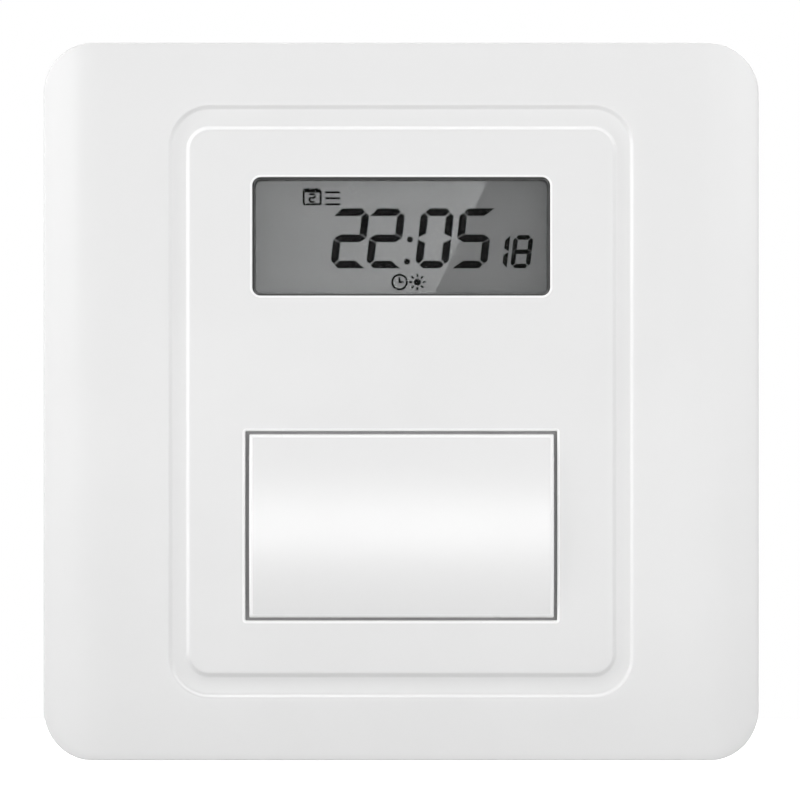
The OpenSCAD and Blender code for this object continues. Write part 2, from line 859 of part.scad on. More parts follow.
module leads(spread, thick) {
    for (side = [-1, 1])
        translate([side * spread / 2, 0, 0]) rod_y(thick / 2, power_y - stand_off - sink, power_y);
}

module smoothing_capacitor() {
    base_y = power_y - stand_off;
    crimp_y = base_y - can_crimp[0];
    crimp_end_y = crimp_y - can_crimp[1];
    color("midnightblue") at(can_at) {
        rod_y(can_r, crimp_y, base_y);
        rod_y(can_r - can_crimp[2], crimp_end_y, crimp_y);
        rod_y(can_r, base_y - can_t, crimp_end_y);
        leads(can_r, can_lead);
    }
}

module varistor() {
    color("steelblue") at(varistor_at) {
        translate([0, power_y - stand_off - varistor_r, 0])
            cylinder(r = varistor_r, h = varistor_t, center = true);
        leads(varistor_r, power_lead);
    }
}

module fuse_resistor() {
    lift = stand_off + fuse_r;
    color("burlywood") at(fuse_at) {
        translate([0, power_y - lift, 0]) {
            rod_x(fuse_waist_r, -fuse_l / 2, fuse_l / 2);
            for (side = [-1, 1])
                translate([side * fuse_l / 2, 0, 0]) rod_x(fuse_r, -fuse_cap / 2, fuse_cap / 2);
        }
        leads(fuse_l, power_lead);
    }
}

// Terminals

module terminal_block() {
    mid_z = terminal_z + terminal_h / 2;
    color("gray") difference() {
        at([0, mid_z]) slab(terminal_w, terminal_h, terminal_r, power_back_y, power_back_y + terminal_d);
        for (x = terminal_xs) {
            at([x, clamp_z + clamp_h / 2]) {
                block(clamp_w + 2 * fit, clamp_h + 2 * fit,
                    power_back_y - over, clamp_y + clamp_t + fit);
                rod_y(driver_r, clamp_y, power_back_y + terminal_d + over);
            }
            translate([x, wire_y, terminal_z + wire_depth / 2 - over / 2])
                cube([wire_w, wire_w, wire_depth + over], center = true);
        }
    }
}

module terminal_clamps() {
    color("gold") for (x = terminal_xs) {
        difference() {
            at([x, clamp_z + clamp_h / 2]) union() {
                block(clamp_w, clamp_h, clamp_y, clamp_y + clamp_t);
                block(clamp_tail, clamp_tail, power_y - stand_off, clamp_y + sink);
            }
            translate([x, wire_y, clamp_z + clamp_h / 2])
                cube([clamp_mouth, clamp_mouth, clamp_h + over], center = true);
            at([x, clamp_z + clamp_h / 2])
                rod_y(terminal_screw[0] + pin_fit, wire_y, clamp_y + clamp_t + over);
        }
    }
}

module terminal_screws() {
    seat_y = terminal_screw_y + terminal_screw[1];
    color("silver") for (x = terminal_xs)
        at([x, clamp_z + clamp_h / 2]) facing_back(seat_y) screw(terminal_screw, seat_y);
}

// Rear housing

module clip_window() {
    step_y = clip_catch - flange_t;
    translate([0, 0, clip_t / 2])
        block(clip_w + 2 * clip_room, clip_t + 2 * clip_room, -flange_t - over, over);
    translate([0, 0, (clip_t + clip_hook) / 2])
        block(clip_w + 2 * clip_room, clip_t + clip_hook + 2 * clip_room, step_y, over);
}

module slot_outline() {
    square([slot_l - slot_w, slot_w], center = true);
    for (end = [-1, 1])
        translate([end * (slot_l - slot_w) / 2, 0]) circle(slot_w / 2);
}

module housing_cuts() {
    for (side = [-1, 1])
        at([side * box_screw_pitch / 2, 0]) deep(-flange_t - over, over) slot_outline();
    for (side = [-1, 1], end = [0, 1])
        mirror([0, 0, end]) translate([side * clip_x, 0, clip_z]) clip_window();
    for (post = board_posts)
        at(post)
            rod_y(board_screw[0] + thread_fit, board_back_y - over, board_y + board_screw[1] + fit);
    for (post = power_posts)
        at(post)
            rod_y(board_screw[0] + thread_fit, power_back_y - over, power_y + board_screw[1] + fit);
    for (x = terminal_xs) {
        at([x, clamp_z + clamp_h / 2]) {
            rod_y(driver_r, rear_in_y - over, rear_y + over);
            translate([0, rear_y - driver_edge, 0]) rotate([-90, 0, 0])
                cylinder(r1 = driver_r, r2 = driver_r + driver_edge + over, h = driver_edge + over);
        }
        translate([x, wire_y, -housing_h / 2]) cube([wire_w, wire_w, 3 * housing_wall], center = true);
    }
}

// Rib in the corner between the back of the flange and the housing's side
module flange_brace() {
    root_x = housing_w / 2 - sink;
    tip_x = housing_w / 2 + brace;
    linear_extrude(brace_t, center = true)
        polygon([[root_x, -flange_t / 2], [tip_x, -flange_t / 2], [tip_x, 0],
                 [housing_w / 2, brace], [root_x, brace]]);
}

module rear_housing() {
    color("whitesmoke") difference() {
        union() {
            difference() {
                union() {
                    slab(flange_w, flange_h, flange_r, -flange_t, 0);
                    slab(housing_w, housing_h, housing_r, -sink, rear_y - housing_edge);
                    tapered_slab(housing_w, housing_h, housing_r, housing_edge,
                        rear_y - housing_edge, rear_y);
                    for (side = [0, 1], end = [-1, 1])
                        mirror([side, 0, 0]) translate([0, 0, end * brace_z]) flange_brace();
                }
                slab(cavity_w, cavity_h, housing_r - housing_wall, -flange_t - over, rear_in_y);
            }
            for (post = board_posts) at(post) rod_y(post_r, board_back_y, rear_in_y + sink);
            for (post = power_posts) at(post) rod_y(post_r, power_back_y, rear_in_y + sink);
            for (stop = stops)
                at(stop) block(stop_w, stop_h + sink, board_back_y, board_back_y + stop_d);
        }
        housing_cuts();
    }
}

face_plate();
window_lens();
lcd_front_polariser();
lcd_front_glass();
lcd_rear_glass();
lcd_reflector();
lcd_holder();
lcd_contact_strips();
control_board();
key_panel();
tact_switches();
controller_chip();
clock_crystal();
coin_cell();
battery_strap();
link_socket();
link_header();
link_pins();
control_board_screws();
key_panel_screws();
power_board();
relay();
film_capacitor();
smoothing_capacitor();
varistor();
fuse_resistor();
bridge_rectifier();
terminal_block();
terminal_clamps();
terminal_screws();
power_board_screws();
rear_housing();
door();
for (i = [0:key_count - 1])
    key_cap(i);
for (i = [0:key_count - 1])
    switch_plunger(i);
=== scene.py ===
import json
from math import cos, pi, radians, sin, sqrt, tan
import bmesh
import bpy
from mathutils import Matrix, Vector


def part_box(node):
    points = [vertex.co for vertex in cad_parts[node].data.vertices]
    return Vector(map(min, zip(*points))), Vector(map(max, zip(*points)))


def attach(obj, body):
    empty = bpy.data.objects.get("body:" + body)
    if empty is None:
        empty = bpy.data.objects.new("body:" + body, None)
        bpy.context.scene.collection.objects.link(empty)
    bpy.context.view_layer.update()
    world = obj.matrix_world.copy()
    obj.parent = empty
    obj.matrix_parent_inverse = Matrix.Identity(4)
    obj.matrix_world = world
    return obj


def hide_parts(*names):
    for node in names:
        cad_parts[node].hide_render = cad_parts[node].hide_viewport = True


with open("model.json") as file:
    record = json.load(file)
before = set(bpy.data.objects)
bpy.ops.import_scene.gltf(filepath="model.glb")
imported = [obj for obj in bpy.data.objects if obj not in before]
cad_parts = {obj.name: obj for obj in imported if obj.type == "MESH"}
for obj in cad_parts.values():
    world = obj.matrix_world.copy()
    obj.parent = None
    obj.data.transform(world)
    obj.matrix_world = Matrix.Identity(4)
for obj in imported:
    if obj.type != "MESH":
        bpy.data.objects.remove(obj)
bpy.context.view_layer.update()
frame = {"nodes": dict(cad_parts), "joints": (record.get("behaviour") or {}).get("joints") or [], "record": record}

# Timer light switch: white face plate with a display window and a drop-down door.
# Sizes below are millimetres in the frame's axes: +X right, +Z up, and the face looks along -Y.

MM = 0.001


def node_box(name):
    """Lowest and highest corner of a solid, in millimetres."""
    low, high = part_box(name)
    return low / MM, high / MM


# Face plate
plate_low, plate_high = node_box("face_plate")
PLATE_HALF_W = plate_high.x
PLATE_HALF_H = plate_high.z
PLATE_R = 6.0
FRONT_Y = plate_low.y
BACK_Y = plate_high.y
FRONT_WALL = 2.0
WALL_Y = FRONT_Y + FRONT_WALL   # inner face of the front wall
RIM_WALL = 2.4
EDGE_R = 0.2                    # rounding of the front edge
BACK_EDGE_R = 0.2               # rounding of the rim's back edges
BOW_W = 7.0                     # curved band at the left and right
BOW_DROP = 1.9
BOW_R = (BOW_W ** 2 + BOW_DROP ** 2) / (2 * BOW_DROP)
PRY_W = 10.0                    # notch in the lower rim for a screwdriver
PRY_D = 1.6
PRY_H = 1.5 * RIM_WALL

# Clips behind the plate
CLIP_X = 22.0
CLIP_W = 8.0
CLIP_T = 1.4
CLIP_Z = 36.3
CLIP_ROOT = 0.4                 # how far a clip reaches into the front wall
CLIP_HOOK_Y = -1.1
CLIP_END_Y = -0.4
CLIP_HOOK = 0.7

# Channel round the raised panel
PANEL_HALF = (25.25, 32.48)     # front edge of the panel
PANEL_R = 2.3
CHANNEL_HALF = (27.95, 35.6)    # front edge of the channel's outer bank
CHANNEL_R = 5.0
CHANNEL_DEPTH = 0.36
CHANNEL_BANK = 0.63             # width of each sloping bank

# Window and display
lens_low, lens_high = node_box("window_lens")
WINDOW_HALF = (17.85, 7.1)
WINDOW_Z = (lens_low.z + lens_high.z) / 2
WINDOW_R = 1.0
# The rims round the window and the door opening are a lighter white: a painted highlight
WINDOW_LIP = 0.2                # bright rim round the opening
WINDOW_EDGE = 0.06
LENS_Y = lens_low.y
EDGE_SHADE_W = 0.26                 # dark ring on the front of the lens: painted shade of the window's edge
EDGE_SHADE_CORE = 0.1               # its darkest part, from which it fades inwards
EDGE_SHADE_FIT = 0.01
POCKET_GAP = 0.15
POCKET_HALF = (lens_high.x + POCKET_GAP, (lens_high.z - lens_low.z) / 2 + POCKET_GAP)
FILM_Y = node_box("lcd_front_polariser")[0].y

# Door
door_low, door_high = node_box("door")
hinge = next(joint for joint in frame["joints"] if joint["name"] == "door_hinge")
HINGE_Y = hinge["pos_m"][1] / MM
HINGE_Z = hinge["pos_m"][2] / MM
DOOR_HALF = (18.25, 11.0)
HINGE_RISE = 1.5                # height of the hinge above the door's lower edge
DOOR_Z = HINGE_Z - HINGE_RISE + DOOR_HALF[1]
DOOR_R = 0.15
DOOR_BACK_Y = door_high.y
DOOR_CROWN = FRONT_Y - door_low.y
DOOR_EDGE = 0.42
DOOR_CHAMFER = 0.15             # along the back edges
DOOR_PLAY = 0.04                # the door's face sits a little to the right in its opening
LIP_DEPTH = 0.6                 # thin lip that closes the gap from behind
LIP_SIDE = 0.3
LIP_FIT = 0.06
CROWN_R = (DOOR_HALF[1] ** 2 + DOOR_CROWN ** 2) / (2 * DOOR_CROWN)
CROWN_MID_Y = door_low.y + CROWN_R
DOOR_WALL = 1.5
DOOR_RIM = 1.6
HOLLOW_R = 0.5
HOLLOW_MOUTH_R = 0.6

# Door opening, hinge pins and catches
OPENING_HALF = (18.67, 11.33)
OPENING_R = 0.12
# This rim is a lighter white as well: a painted highlight
OPENING_LIP = 0.1               # bright rim round the opening
OPENING_EDGE = 0.25
SKIRT_WALL = 1.5
SKIRT_Y = -6.7
PIN_R = 0.5
PIN_FIT = 0.05
PIN_ROOT = 0.4                  # how far a pin reaches into the door
PIN_CHAMFER = 0.12
PIN_END_X = door_high.x
SOCKET_MOUTH = 0.4              # how far a socket's cut starts inside the opening
SOCKET_END = 0.15               # room beyond the end of a pin
SOCKET_SNAP = 0.1               # how much narrower the way in is, on each side of a pin
CATCH_R = 0.8
CATCH_DROP = 3.0                # from the door's upper edge
CATCH_TURNS = range(-80, 81, 10)

# Keys
KEY_COUNT = 8
KEY_HALF = (2.9, 2.0)
KEY_R = 1.2
KEY_EDGE = 0.4
KEY_DISH = 0.12
KEY_LIP = 0.5
KEY_LIP_T = 0.6
KEY_STEM = 0.2
KEY_STEM_R = 1.75

# Print and display segments
INK_T = 0.02
INK_LIFT = 0.01
KEY_INK_T = 0.05

# Meshes: steps round corners and edges, and rings across faces
ARC_STEPS = 10
TIGHT_ARC = 4                   # for the small corners of the door and its opening
SIDE_STEPS = 14
TURN_STEPS = 6
TIGHT_TURN = 5
BANK_STEPS = 12
FRONT_RINGS = 16
CROWN_RINGS = 22
HOLLOW_RINGS = 8
DISH_RINGS = 8
CROWN_END = 0.08                # half height of the last ring on the door
CROWN_CORNER = 0.9              # largest corner of a ring, as a share of its half height
DISH_END = 0.05
DISH_CORNER = 0.95
EDGE_MARGIN = 0.25              # flat strip beside a rounded edge
SIDE_MARGIN = 0.3
LEAST_FLAT = 0.01               # straight length left between two round ends
CUT_PAST = 1.0                  # how far a cutter reaches past what it cuts
SHARP_ANGLE = radians(32)

# Places of the finishes on the plate and on the door
# The plate's rims and the door's edge line take a lighter white, a painted highlight
PLATE_HIGHLIGHT_RIM = 1
# The door's lip, hinge pins and catches take grey, painted shade of the gap round the door
DOOR_SHADED_LIP, DOOR_HIGHLIGHT_LINE, DOOR_INSIDE = 1, 2, 3


def rounded_loop(half, radius, y, z=0.0, arc=ARC_STEPS):
    """Points round a rounded rectangle in X and Z. y is a level, or a function of x and z."""
    level = y if callable(y) else lambda px, pz: y
    flat_w, flat_h = half[0] - radius, half[1] - radius
    corners = ((flat_w, flat_h), (-flat_w, flat_h), (-flat_w, -flat_h), (flat_w, -flat_h))
    ways = ((-1, 0), (0, -1), (1, 0), (0, 1))
    points = []
    for quarter, (corner, way) in enumerate(zip(corners, ways)):
        for step in range(arc + 1):
            angle = (quarter + step / arc) * pi / 2
            points.append((corner[0] + radius * cos(angle), corner[1] + radius * sin(angle)))
        length = 2 * (flat_w if way[0] else flat_h)
        start = points[-1]
        for step in range(1, SIDE_STEPS):
            run = length * step / SIDE_STEPS
            points.append((start[0] + way[0] * run, start[1] + way[1] * run))
    return [Vector((px, level(px, pz + z), pz + z)) for px, pz in points]


def inset(half, distance):
    return (half[0] - distance, half[1] - distance)


def between(low, high, share):
    return low + (high - low) * share


def skin(mesh, loops, finish=0):
    """Quads between loops that follow one another. A loop is a list of points, or of vertices."""
    rings = []
    for loop in loops:
        made = isinstance(loop[0], bmesh.types.BMVert)
        rings.append(loop if made else [mesh.verts.new(point * MM) for point in loop])
    for near, far in zip(rings, rings[1:]):
        for i in range(len(near)):
            j = (i + 1) % len(near)
            face = mesh.faces.new((near[i], near[j], far[j], far[i]))
            face.material_index = finish
    return rings


def flat_fill(mesh, rings):
    """Flat face inside the first ring, with the other rings as its holes."""
    edges = []
    for ring in rings:
        for a, b in zip(ring, ring[1:] + ring[:1]):
            edges.append(mesh.edges.get((a, b)) or mesh.edges.new((a, b)))
    bmesh.ops.triangle_fill(mesh, use_beauty=True, edges=edges, normal=(0, -1, 0))


def close_ring(mesh, ring, finish=0):
    face = mesh.faces.new(ring)
    face.material_index = finish


def smooth(piece):
    """Smooth faces, with sharp corners where they meet at a large angle."""
    piece.data.polygons.foreach_set("use_smooth", [True] * len(piece.data.polygons))
    piece.data.set_sharp_from_angle(angle=SHARP_ANGLE)


def add_object(name, data):
    thing = bpy.data.objects.new(name, data)
    bpy.context.scene.collection.objects.link(thing)
    return thing


def new_piece(name, mesh, finishes):
    """Makes an object of a mesh."""
    bmesh.ops.recalc_face_normals(mesh, faces=mesh.faces)
    data = bpy.data.meshes.new(name)
    mesh.to_mesh(data)
    mesh.free()
    piece = add_object(name, data)
    for finish in finishes:
        data.materials.append(finish)
    smooth(piece)
    return piece


def combine(piece, operation, tools):
    """Joins the tools to a piece, or cuts them out of it."""
    for tool in tools:
        step = piece.modifiers.new("combine", "BOOLEAN")
        step.operation = operation
        step.object = tool
    depsgraph = bpy.context.evaluated_depsgraph_get()
    before = piece.data
    piece.data = bpy.data.meshes.new_from_object(piece.evaluated_get(depsgraph))
    piece.modifiers.clear()
    bpy.data.meshes.remove(before)
    for tool in tools:
        bpy.data.objects.remove(tool)
    smooth(piece)


def prism_x(name, outline, x0, x1):
    """Solid of one outline in Y and Z, from x0 to x1."""
    mesh = bmesh.new()
    rings = skin(mesh, [[Vector((x, y, z)) for y, z in outline] for x in (x0, x1)])
    for ring in rings:
        close_ring(mesh, ring)
    return new_piece(name, mesh, [])


def circle_points(centre, radius, count=32):
    turns = [2 * pi * i / count for i in range(count)]
    return [(centre[0] + radius * cos(turn), centre[1] + radius * sin(turn)) for turn in turns]


def lathe_x(name, profile, y, z, finish=0, count=28):
    """Solid of revolution about a line along X. The profile lists places along X and radii."""
    mesh = bmesh.new()
    loops = [[Vector((x, py, pz)) for py, pz in circle_points((y, z), r, count)] for x, r in profile]
    rings = skin(mesh, loops, finish)
    close_ring(mesh, rings[0], finish)
    close_ring(mesh, rings[-1], finish)
    return new_piece(name, mesh, [None] * (finish + 1))


def rounded_edge(radius, steps=TURN_STEPS):
    """Inset and fall of the points round a quarter circle, from the side to the front."""
    turns = [i / steps * pi / 2 for i in range(steps + 1)]
    return [(radius * (1 - cos(turn)), radius * (1 - sin(turn))) for turn in turns]


# Face plate

def front_level(x, z):
    """Level of the front face, which falls back towards the left and the right."""
    past = max(abs(x) - (PLATE_HALF_W - BOW_W), 0.0)
    return FRONT_Y + (BOW_R - sqrt(max(BOW_R ** 2 - past ** 2, 0.0)))


def plate_loop(distance, fall=0.0, level=None):
    """Loop round the plate, inset by a distance, at a level or behind the front face."""
    def behind_front(x, z):
        return front_level(x, z) + fall
    half = inset((PLATE_HALF_W, PLATE_HALF_H), distance)
    return rounded_loop(half, PLATE_R - distance, behind_front if level is None else level)


def bank_level(share):
    """Level of a bank at a share of its width, in a soft curve."""
    return FRONT_Y + CHANNEL_DEPTH * share * share * (3 - 2 * share)


def channel_loops():
    """Loops down the outer bank of the channel and up the inner one."""
    shares = [i / BANK_STEPS for i in range(BANK_STEPS + 1)]
    loops = []
    for share in shares:
        run = CHANNEL_BANK * share
        loops.append(rounded_loop(inset(CHANNEL_HALF, run), CHANNEL_R - run, bank_level(share)))
    for share in reversed(shares):
        run = CHANNEL_BANK * share
        loops.append(rounded_loop(inset(PANEL_HALF, -run), PANEL_R + run, bank_level(share)))
    return loops


def outer_loops():
    """Rim, side, rounded edge, curved front and channel, up to the raised panel."""
    loops = [plate_loop(RIM_WALL, level=WALL_Y),
             plate_loop(RIM_WALL, level=BACK_Y - BACK_EDGE_R),
             plate_loop(RIM_WALL - BACK_EDGE_R, level=BACK_Y),
             plate_loop(BACK_EDGE_R, level=BACK_Y),
             plate_loop(0.0, level=BACK_Y - BACK_EDGE_R),
             plate_loop(0.0, EDGE_R + SIDE_MARGIN)]
    loops += [plate_loop(in_by, fall) for in_by, fall in rounded_edge(EDGE_R)]
    start = inset((PLATE_HALF_W, PLATE_HALF_H), EDGE_R)
    for i in range(1, FRONT_RINGS):
        share = i / FRONT_RINGS
        half = [between(start[k], CHANNEL_HALF[k], share) for k in (0, 1)]
        loops.append(rounded_loop(half, between(PLATE_R - EDGE_R, CHANNEL_R, share), front_level))
    loops += channel_loops()
    loops.append(rounded_loop(inset(PANEL_HALF, EDGE_MARGIN), PANEL_R, FRONT_Y))
    return loops


def hole_edge(mesh, half, radius, z, lip, edge, arc):
    """Flat margin, flat lip and rounded front edge of a hole, down to its wall. The lip and the edge take a
    lighter white, a painted highlight.
    """
    def ring(out_by, fall):
        return rounded_loop(inset(half, -out_by), radius + out_by, FRONT_Y + fall, z, arc)
    start = lip + edge
    margin = skin(mesh, [ring(start + EDGE_MARGIN, 0.0), ring(start, 0.0)])
    turn = [ring(out_by, fall) for out_by, fall in reversed(rounded_edge(edge, TIGHT_TURN))]
    inner = skin(mesh, [margin[-1]] + turn, PLATE_HIGHLIGHT_RIM)
    return margin[0], inner[-1]


def make_face_plate(finish, rim_highlight_finish):
    """Front plate with its channel, window pocket, door opening, hinge sockets and clips."""
    mesh = bmesh.new()
    outer = skin(mesh, outer_loops())
    window, window_wall = hole_edge(mesh, WINDOW_HALF, WINDOW_R, WINDOW_Z,
                                    WINDOW_LIP, WINDOW_EDGE, ARC_STEPS)
    window_back = skin(mesh, [window_wall,
                              rounded_loop(WINDOW_HALF, WINDOW_R, LENS_Y, WINDOW_Z),
                              rounded_loop(POCKET_HALF, WINDOW_R, LENS_Y, WINDOW_Z),
                              rounded_loop(POCKET_HALF, WINDOW_R, WALL_Y, WINDOW_Z)])
    door_way, door_wall = hole_edge(mesh, OPENING_HALF, OPENING_R, DOOR_Z,
                                    OPENING_LIP, OPENING_EDGE, TIGHT_ARC)
    skirt = inset(OPENING_HALF, -SKIRT_WALL)
    skirt_r = OPENING_R + SKIRT_WALL
    door_back = skin(mesh, [door_wall,
                            rounded_loop(OPENING_HALF, OPENING_R, SKIRT_Y, DOOR_Z, TIGHT_ARC),
                            rounded_loop(skirt, skirt_r, SKIRT_Y, DOOR_Z, TIGHT_ARC),
                            rounded_loop(skirt, skirt_r, WALL_Y, DOOR_Z, TIGHT_ARC)])
    flat_fill(mesh, [outer[-1], window, door_way])
    flat_fill(mesh, [outer[0], window_back[-1], door_back[-1]])
    piece = new_piece("front_plate", mesh, [finish, rim_highlight_finish])
    combine(piece, "DIFFERENCE", plate_cutters())
    combine(piece, "UNION", plate_clips())
    return piece


def plate_cutters():
    """Hinge sockets, open to the back, and the notch in the lower rim."""
    cutters = []
    mouth_x = OPENING_HALF[0] - SOCKET_MOUTH
    end_x = PIN_END_X + SOCKET_END
    socket_r = PIN_R + PIN_FIT
    way_half = PIN_R - SOCKET_SNAP
    way_y = SKIRT_Y + CUT_PAST
    way = [(HINGE_Y, HINGE_Z - way_half), (HINGE_Y, HINGE_Z + way_half),
           (way_y, HINGE_Z + way_half), (way_y, HINGE_Z - way_half)]
    for side in (-1, 1):
        socket = [(side * mouth_x, socket_r), (side * end_x, socket_r)]
        cutters.append(lathe_x("socket", socket, HINGE_Y, HINGE_Z))
        cutters.append(prism_x("socket_way", way, side * mouth_x, side * end_x))
    low_z, high_z = -PLATE_HALF_H - CUT_PAST, -PLATE_HALF_H + PRY_H
    front_y, back_y = BACK_Y - PRY_D, BACK_Y + CUT_PAST
    notch = [(front_y, low_z), (back_y, low_z), (back_y, high_z), (front_y, high_z)]
    cutters.append(prism_x("pry_notch", notch, -PRY_W / 2, PRY_W / 2))
    return cutters


def plate_clips():
    """Four hooked arms behind the plate that snap into the mounting flange."""
    root_y = WALL_Y - CLIP_ROOT
    outline = [(root_y, 0), (CLIP_END_Y, 0), (CLIP_END_Y, CLIP_T), (CLIP_HOOK_Y, CLIP_T + CLIP_HOOK),
               (CLIP_HOOK_Y, CLIP_T), (root_y, CLIP_T)]
    clips = []
    for side in (-1, 1):
        for end in (-1, 1):
            section = [(y, end * (CLIP_Z + z)) for y, z in outline]
            middle = side * CLIP_X
            clips.append(prism_x("clip", section, middle - CLIP_W / 2, middle + CLIP_W / 2))
    return clips


# Door

def crown_y(z, depth=0.0):
    """Level of the door's crowned face, or of a face at some depth behind it."""
    return CROWN_MID_Y - sqrt((CROWN_R - depth) ** 2 - (z - DOOR_Z) ** 2)


def crowned_loop(half, radius, z, depth=0.0, fall=0.0):
    """Loop on the crowned face, or behind it."""
    def level(px, pz):
        return crown_y(pz, depth) + fall
    return rounded_loop(half, radius, level, z, TIGHT_ARC)


def crowned_loops(half, radius, z, depth, rings):
    """Loops that close in on the middle of a crowned face."""
    loops = []
    for i in range(1, rings + 1):
        small = inset(half, (half[1] - CROWN_END) * i / rings)
        corner = min(radius, small[1] * CROWN_CORNER)
        loops.append(crowned_loop(small, corner, z, depth))
    return loops


def door_loop(half, radius, y):
    return rounded_loop(half, radius, y, DOOR_Z, TIGHT_ARC)


def door_lip_loops():
    """Loops out to the thin lip behind the gap and back, from the back to the front."""
    lip = inset(OPENING_HALF, LIP_FIT)
    front = FRONT_Y + LIP_DEPTH
    back = front + LIP_SIDE
    return [door_loop(DOOR_HALF, DOOR_R, back), door_loop(lip, OPENING_R, back),
            door_loop(lip, OPENING_R, front), door_loop(DOOR_HALF, DOOR_R, front)]


def door_back_loops(hollow, hollow_z):
    """Loops from the floor of the hollow over the rim to the outer wall."""
    chamfer_y = DOOR_BACK_Y - DOOR_CHAMFER
    mouth = inset(hollow, -DOOR_CHAMFER)
    return [crowned_loop(hollow, HOLLOW_R, hollow_z, DOOR_WALL),
            rounded_loop(hollow, HOLLOW_R, chamfer_y, hollow_z, TIGHT_ARC),
            rounded_loop(mouth, HOLLOW_MOUTH_R, DOOR_BACK_Y, hollow_z, TIGHT_ARC),
            door_loop(inset(DOOR_HALF, DOOR_CHAMFER), DOOR_R, DOOR_BACK_Y),
            door_loop(DOOR_HALF, DOOR_R, chamfer_y)]


def make_door(finish, lip_shade_finish, edge_highlight_finish, inside_finish):
    """Crowned door, hollow behind, with its lip, hinge pins and catches."""
    mesh = bmesh.new()
    hollow = (DOOR_HALF[0] - DOOR_RIM, DOOR_HALF[1] - DOOR_RIM - HINGE_RISE / 2)
    hollow_z = DOOR_Z + HINGE_RISE / 2
    edge = [crowned_loop(inset(DOOR_HALF, in_by), DOOR_R, DOOR_Z, fall=fall)
            for in_by, fall in rounded_edge(DOOR_EDGE, TIGHT_TURN)]
    back = skin(mesh, door_back_loops(hollow, hollow_z), DOOR_INSIDE)
    lip = door_lip_loops()
    lip_back = skin(mesh, [back[-1]] + lip[:3], DOOR_INSIDE)
    # The lip's front shows through the gap and is painted grey as the gap's shade
    lip_front = skin(mesh, [lip_back[-1], lip[3]], DOOR_SHADED_LIP)
    wall = skin(mesh, [lip_front[-1], edge[0]])
    # The door's rounded front edge takes a lighter white, a painted highlight
    edge_rings = skin(mesh, [wall[-1]] + edge[1:], DOOR_HIGHLIGHT_LINE)
    inner = inset(DOOR_HALF, DOOR_EDGE + EDGE_MARGIN)
    margin = crowned_loop(inner, DOOR_R, DOOR_Z)
    face = skin(mesh, [edge_rings[-1], margin] + crowned_loops(inner, DOOR_R, DOOR_Z, 0.0, CROWN_RINGS))
    close_ring(mesh, face[-1])
    floor_loops = crowned_loops(hollow, HOLLOW_R, hollow_z, DOOR_WALL, HOLLOW_RINGS)
    floor = skin(mesh, [back[0]] + floor_loops, DOOR_INSIDE)
    close_ring(mesh, floor[-1], DOOR_INSIDE)
    piece = new_piece("drop_door", mesh, [finish, lip_shade_finish, edge_highlight_finish, inside_finish])
    combine(piece, "UNION", door_pins_and_catches())
    # The pins, the catches and the lip stay where they are, and the rest moves to the right
    for corner in piece.data.vertices:
        if abs(corner.co.x) < (DOOR_HALF[0] + LIP_FIT) * MM:
            corner.co.x += DOOR_PLAY * MM
    return piece


def door_pins_and_catches():
    """Hinge pins with chamfered ends, and the snap bumps near the upper corners."""
    tools = []
    root_x = DOOR_HALF[0] - PIN_ROOT
    pin = [(root_x, PIN_R), (PIN_END_X - PIN_CHAMFER, PIN_R), (PIN_END_X, PIN_R - PIN_CHAMFER)]
    bump_x = OPENING_HALF[0] - PIN_FIT - CATCH_R
    turns = [radians(angle) for angle in CATCH_TURNS]
    bump = [(bump_x + CATCH_R * sin(turn), CATCH_R * cos(turn)) for turn in turns]
    bump_z = DOOR_Z + DOOR_HALF[1] - CATCH_DROP
    for side in (-1, 1):
        for name, profile, z in (("pin", pin, HINGE_Z), ("catch", bump, bump_z)):
            turned = [(side * x, r) for x, r in profile]
            # Pins and catches take the lip's grey, painted shade in the gap
            tools.append(lathe_x(name, turned, HINGE_Y, z, DOOR_SHADED_LIP))
    return tools


# Keys behind the door

def make_key(number, finish):
    """Key cap with a dished top, a rounded edge, a lip behind the panel and a stem."""
    low, high = node_box("key_cap_%d" % number)
    middle = Vector(((low.x + high.x) / 2, 0, (low.z + high.z) / 2))
    top_y, stem_y = low.y, high.y
    lip_back_y = stem_y - KEY_STEM
    lip_y = lip_back_y - KEY_LIP_T
    lip = inset(KEY_HALF, -KEY_LIP)
    stem = (KEY_STEM_R, KEY_STEM_R)
    loops = [rounded_loop(stem, KEY_STEM_R - LEAST_FLAT, stem_y),
             rounded_loop(stem, KEY_STEM_R - LEAST_FLAT, lip_back_y),
             rounded_loop(lip, KEY_R + KEY_LIP, lip_back_y),
             rounded_loop(lip, KEY_R + KEY_LIP, lip_y),
             rounded_loop(KEY_HALF, KEY_R, lip_y)]
    loops += [rounded_loop(inset(KEY_HALF, in_by), KEY_R - in_by, top_y + fall)
              for in_by, fall in rounded_edge(KEY_EDGE)]
    top = inset(KEY_HALF, KEY_EDGE)
    for i in range(1, DISH_RINGS + 1):
        share = i / DISH_RINGS
        small = inset(top, (top[1] - DISH_END) * share)
        corner = min(KEY_R - KEY_EDGE, small[1] * DISH_CORNER)
        loops.append(rounded_loop(small, corner, top_y + KEY_DISH * sin(share * pi / 2)))
    mesh = bmesh.new()
    rings = skin(mesh, [[point + middle for point in loop] for loop in loops])
    close_ring(mesh, rings[0])
    close_ring(mesh, rings[-1])
    return new_piece("key_top_%d" % number, mesh, [finish])


# Flat print and display segments: outlines in X and Z with a little thickness

def ink_faces(carrier_y):
    """Front and back level of print that lies just in front of a surface."""
    back_y = carrier_y - INK_LIFT
    return back_y - INK_T, back_y


def ink_area(mesh, outline, front_y, back_y):
    loops = [[Vector((x, y, z)) for x, z in outline] for y in (front_y, back_y)]
    for ring in skin(mesh, loops):
        close_ring(mesh, ring)


RING_STEP = 10                  # degrees


